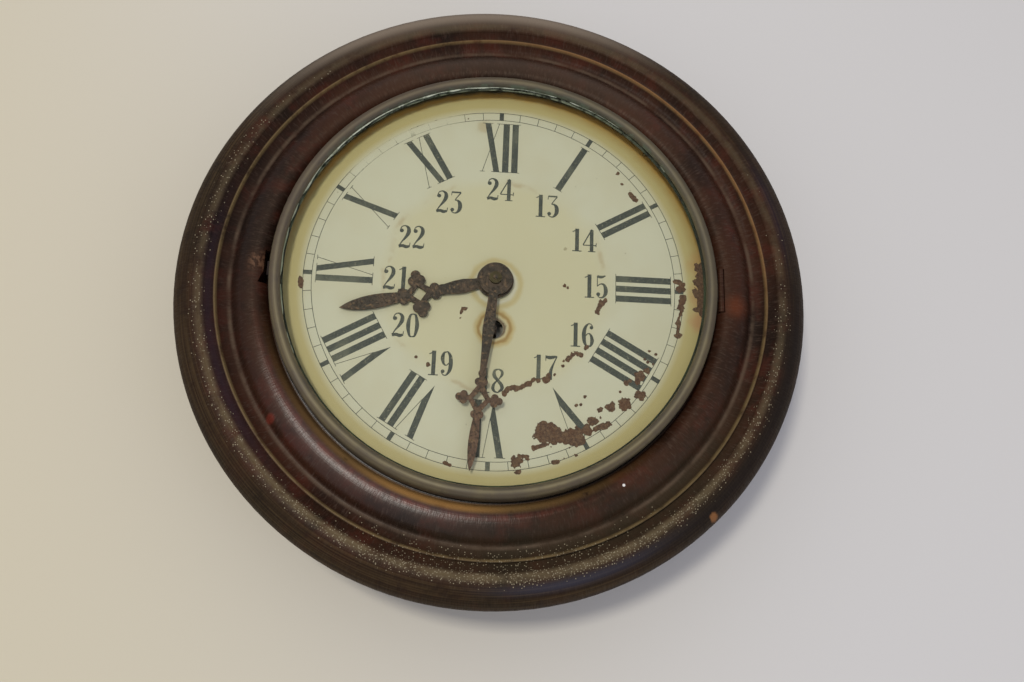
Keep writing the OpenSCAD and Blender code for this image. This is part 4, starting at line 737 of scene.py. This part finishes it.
class CLOCK_OT_surround(bpy.types.Operator):
    """Shellacs the turned surround, the bezel's hinge and the band of the back case"""
    bl_idname = "clock.surround"
    bl_label = "Surround and case"

    def execute(self, context):
        # the hinge was shellacked over with the wood
        paint_nodes(shellacked_beech(context.scene.clock_colours),
                    "surround", "drum", "case_hinge_leaf", "bezel_hinge_leaf", "hinge_pin")
        paint_nodes(bare_softwood(), "back_board", "glue_blocks", "upper_rail", "lower_rail")
        paint_nodes(machined_metal("black_iron", "#3B3733", "#1D1A18", 0.5, 0.8), "hanger")
        paint_nodes(machined_metal("iron_screws", "#6A645D", "#3A2E26", 0.45, 0.9, 0.8),
                    "back_screws", "hanger_screws", "rail_screws")
        return {"FINISHED"}


class CLOCK_OT_dial(bpy.types.Operator):
    """Paints the tin dial and pins it down"""
    bl_idname = "clock.dial"
    bl_label = "Dial"

    def execute(self, context):
        paint_nodes(painted_tin(context.scene.clock_colours), "dial")
        paint_nodes(machined_metal("dial_pin_brass", "#8A7440", "#4E4026", 0.4), "dial_pins")
        return {"FINISHED"}


class CLOCK_OT_printing(bpy.types.Operator):
    """Prints the minute track, the hour numerals and the inner hours on the dial"""
    bl_idname = "clock.printing"
    bl_label = "Printing"

    def execute(self, context):
        points, faces = [], []
        for count, shape in enumerate(printed_shapes(context.scene.clock_printing)):
            level = 0.001 * (count % 9)      # overlapping strokes lie on slightly different levels
            faces.append(list(range(len(points), len(points) + len(shape))))
            points += [(p[0], p[1], level) for p in shape]
        add_mesh("dial_printing", points, faces, printing_ink(context.scene.clock_colours), "case",
                 PRINT_LIFT)
        return {"FINISHED"}


class CLOCK_OT_flaking(bpy.types.Operator):
    """Breaks the dial's paint where rust has lifted it"""
    bl_idname = "clock.flaking"
    bl_label = "Flaked paint"

    def execute(self, context):
        tin = bared_tin()
        add_patches("flaked_paint", FLAKES, tin, SEED)
        add_patches("rusted_edge", RUSTED, tin, SEED + 5)
        return {"FINISHED"}


class CLOCK_OT_bezel(bpy.types.Operator):
    """Tarnishes the bezel and its catch, and sets the glass in its putty"""
    bl_idname = "clock.bezel"
    bl_label = "Bezel and glass"

    def execute(self, context):
        paint_nodes(tarnished_brass(context.scene.clock_colours), "bezel")
        paint_nodes(machined_metal("blackened_brass", "#24150E", "#120B08", 0.8, 0.1, 0.8), "bezel_catch")
        paint_nodes(window_glass(), "glass")
        # the putty behind the glass is near-black green: dirt, and painted shade of the recess under the bezel
        paint_nodes(linseed_putty("dirty_putty", "#34382A", "#8C937B"), "glass_putty")
        # putty that has oozed out between the lip and the glass, as a thin broken line
        on_glass = -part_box("glass")[0].y / MM - DIAL_FACE + PRINT_LIFT
        turn = np.radians(np.arange(36.0, 206.0, 0.5))
        swell = np.sin((turn - turn[0]) / np.ptp(turn) * math.pi)
        width = 0.5 * cloud(turn * 100.0, turn * 0.0, 7.0, SEED) + 0.5 * swell
        points, faces = [], []
        for a, w in zip(turn, np.clip(width, 0.0, 0.9)):
            points += [(r * math.cos(a), r * math.sin(a), on_glass) for r in (LIP + 0.15, LIP - 0.05 - w)]
        for i in np.nonzero(np.minimum(width[1:], width[:-1]) > 0.08)[0] * 2:
            faces.append([i, i + 1, i + 3, i + 2])
        add_mesh("putty_line", points, [[int(k) for k in f] for f in faces],
                 linseed_putty("pale_putty", "#747963", "#B3B7A2"), "bezel", 0.0)
        return {"FINISHED"}


class CLOCK_OT_hands(bpy.types.Operator):
    """Rusts the pierced hands, their nut and the arbors that show in the dial's holes"""
    bl_idname = "clock.hands"
    bl_label = "Hands"

    def execute(self, context):
        paint_nodes(rusty_steel(), "minute_hand", "hour_hand", "centre_arbor", "winding_arbor")
        paint_nodes(machined_metal("dull_bronze", "#544B30", "#2F2A1B", 0.4, 0.6, 0.8), "hand_nut")
        return {"FINISHED"}


class CLOCK_OT_movement(bpy.types.Operator):
    """Finishes the plates, wheels, arbors and springs of the movement"""
    bl_idname = "clock.movement"
    bl_label = "Movement"

    def execute(self, context):
        paint_nodes(machined_metal("rolled_brass", "#C9A45A", "#7E6234", 0.28),
                    "front_plate", "back_plate", "pillars", "barrel", "barrel_cover", "centre_wheel", "minute_wheel",
                    "hour_wheel", "third_wheel", "fourth_wheel", "escape_wheel", "balance_wheel", "balance_cock")
        paint_nodes(machined_metal("polished_steel", "#A9A7A2", "#6A625A", 0.25),
                    "pillar_nuts", "movement_screws", "ratchet_wheel", "click", "click_screw", "cannon_pinion",
                    "minute_wheel_stud", "third_arbor", "fourth_arbor",
                    "escape_arbor", "pallet_lever", "pallet_arbor", "balance_staff", "cock_screws", "regulator")
        paint_nodes(machined_metal("blued_spring_steel", "#2B3550", "#1A1F2E", 0.3),
                    "mainspring", "click_spring", "hairspring")
        return {"FINISHED"}


# half the width of the wall, and how far it is behind the case, m
WALL_REACH, WALL_GAP = 3.0, 0.0005
# each lamp's name, place in m, width in m, power in W and colour; the last two light the clock's back
LAMPS = (("window", (-0.36, -1.56, 0.0), 0.20, 9.8, "#FFFCF4"),
         ("sky", (0.85, -0.9, -0.75), 0.5, 0.9, "#9DB2FF"),
         ("back_left", (-0.9, 1.3, 0.8), 0.8, 12.0, "#FFFFFF"),
         ("back_right", (1.0, 1.2, 0.4), 0.8, 8.0, "#FFFFFF"))
# the camera: place in m, turn in degrees, then width of its sensor and focal length in mm
CAMERA_PLACE = (-0.0149, -0.5144, -0.1712)
CAMERA_TURN = (107.313, -1.926, -3.642)
SENSOR, LENS = 36.0, 35.16


class CLOCK_OT_stage(bpy.types.Operator):
    """Hangs the clock on a pale wall, and sets the lamps and the camera"""
    bl_idname = "clock.stage"
    bl_label = "Wall, lamps and camera"

    def execute(self, context):
        scene = context.scene
        wall_colour = list(scene.clock_colours.wall)
        made, tree, shader = new_material("limewashed_wall")
        place, _, radius = dial_place(tree)[:3]
        brushed = add(tree, "TexNoise", Vector=place, Scale=1.0 / 6.0, Detail=4.0)
        across = add(tree, "MapRange", interpolation_type="SMOOTHSTEP", From_Min=-330.0, From_Max=160.0,
                     Value=add(tree, "VectorMath", operation="DOT_PRODUCT", Vector=place,
                               Vector_001=(1.0, 0.0, 0.35)).outputs["Value"])
        finish(tree, shader, coats(tree, "#D0C6AB", (across, wall_colour)), 0.9,
               add(tree, "Bump", Height=brushed, Distance=0.05 * MM))
        # the wall shows its front only, and lets light through behind the case, so that the clock's back is seen
        covered = add(tree, "Math", operation="LESS_THAN", Value=radius, Value_001=CASE_RADIUS - 1.0)
        clear = add(tree, "Math", operation="MAXIMUM", Value=covered,
                    Value_001=add(tree, "NewGeometry").outputs["Backfacing"])
        pane = add(tree, "MixShader", Fac=clear, Shader=shader, Shader_001=add(tree, "BsdfTransparent"))
        tree.links.new(pane.outputs[0], tree.nodes["Material Output"].inputs[0])
        mesh = bpy.data.meshes.new("wall")
        corners = ((-1, -1), (1, -1), (1, 1), (-1, 1))
        mesh.from_pydata([(x * WALL_REACH, WALL_GAP, z * WALL_REACH) for x, z in corners], [], [(0, 1, 2, 3)])
        mesh.materials.append(made)
        wall = bpy.data.objects.new("wall", mesh)
        scene.collection.objects.link(wall)
        for name, stand, size, power, code in LAMPS:
            lamp = bpy.data.lights.new(name, "AREA")
            lamp.size, lamp.energy, lamp.color = size, power, colour(code)[:3]
            holder = bpy.data.objects.new(name, lamp)
            holder.location = stand
            holder.rotation_mode = "QUATERNION"
            holder.rotation_quaternion = Vector(stand).to_track_quat("Z", "Y")
            scene.collection.objects.link(holder)
        world = bpy.data.worlds.new("room")
        world.use_nodes = True
        back = world.node_tree.nodes["Background"]
        back.inputs["Color"].default_value = colour("#D4D6E2")
        back.inputs["Strength"].default_value = 0.86
        scene.world = world
        lens = bpy.data.cameras.new("camera")
        lens.sensor_width, lens.lens = SENSOR, LENS
        lens.clip_start, lens.clip_end = 0.01, 50.0
        holder = bpy.data.objects.new("camera", lens)
        holder.location = CAMERA_PLACE
        holder.rotation_euler = [math.radians(v) for v in CAMERA_TURN]
        scene.collection.objects.link(holder)
        scene.camera = holder
        scene.view_settings.view_transform = "Standard"
        return {"FINISHED"}


OPERATORS = (CLOCK_OT_surround, CLOCK_OT_dial, CLOCK_OT_printing, CLOCK_OT_flaking, CLOCK_OT_bezel, CLOCK_OT_hands,
             CLOCK_OT_movement, CLOCK_OT_stage)


class CLOCK_PT_panel(bpy.types.Panel):
    """Lists the clock's sizes, colours and pieces"""
    bl_idname = "CLOCK_PT_panel"
    bl_label = "Round wall clock"
    bl_space_type = "VIEW_3D"
    bl_region_type = "UI"
    bl_category = "Clock"

    def draw(self, context):
        for group in (context.scene.clock_printing, context.scene.clock_colours):
            for name in group.__annotations__:
                self.layout.prop(group, name)
        for kind in OPERATORS:
            self.layout.operator(kind.bl_idname)


CLASSES = (ClockPrinting, ClockColours, *OPERATORS, CLOCK_PT_panel)


def register():
    for kind in CLASSES:
        bpy.utils.register_class(kind)
    bpy.types.Scene.clock_printing = bpy.props.PointerProperty(type=ClockPrinting)
    bpy.types.Scene.clock_colours = bpy.props.PointerProperty(type=ClockColours)


def unregister():
    del bpy.types.Scene.clock_colours
    del bpy.types.Scene.clock_printing
    for kind in reversed(CLASSES):
        bpy.utils.unregister_class(kind)


def main():
    """Dresses the clock piece by piece."""
    register()
    bpy.ops.clock.surround()
    bpy.ops.clock.dial()
    bpy.ops.clock.printing()
    bpy.ops.clock.flaking()
    bpy.ops.clock.bezel()
    bpy.ops.clock.hands()
    bpy.ops.clock.movement()
    bpy.ops.clock.stage()
    bpy.context.view_layer.update()


if __name__ == "__main__":
    main()
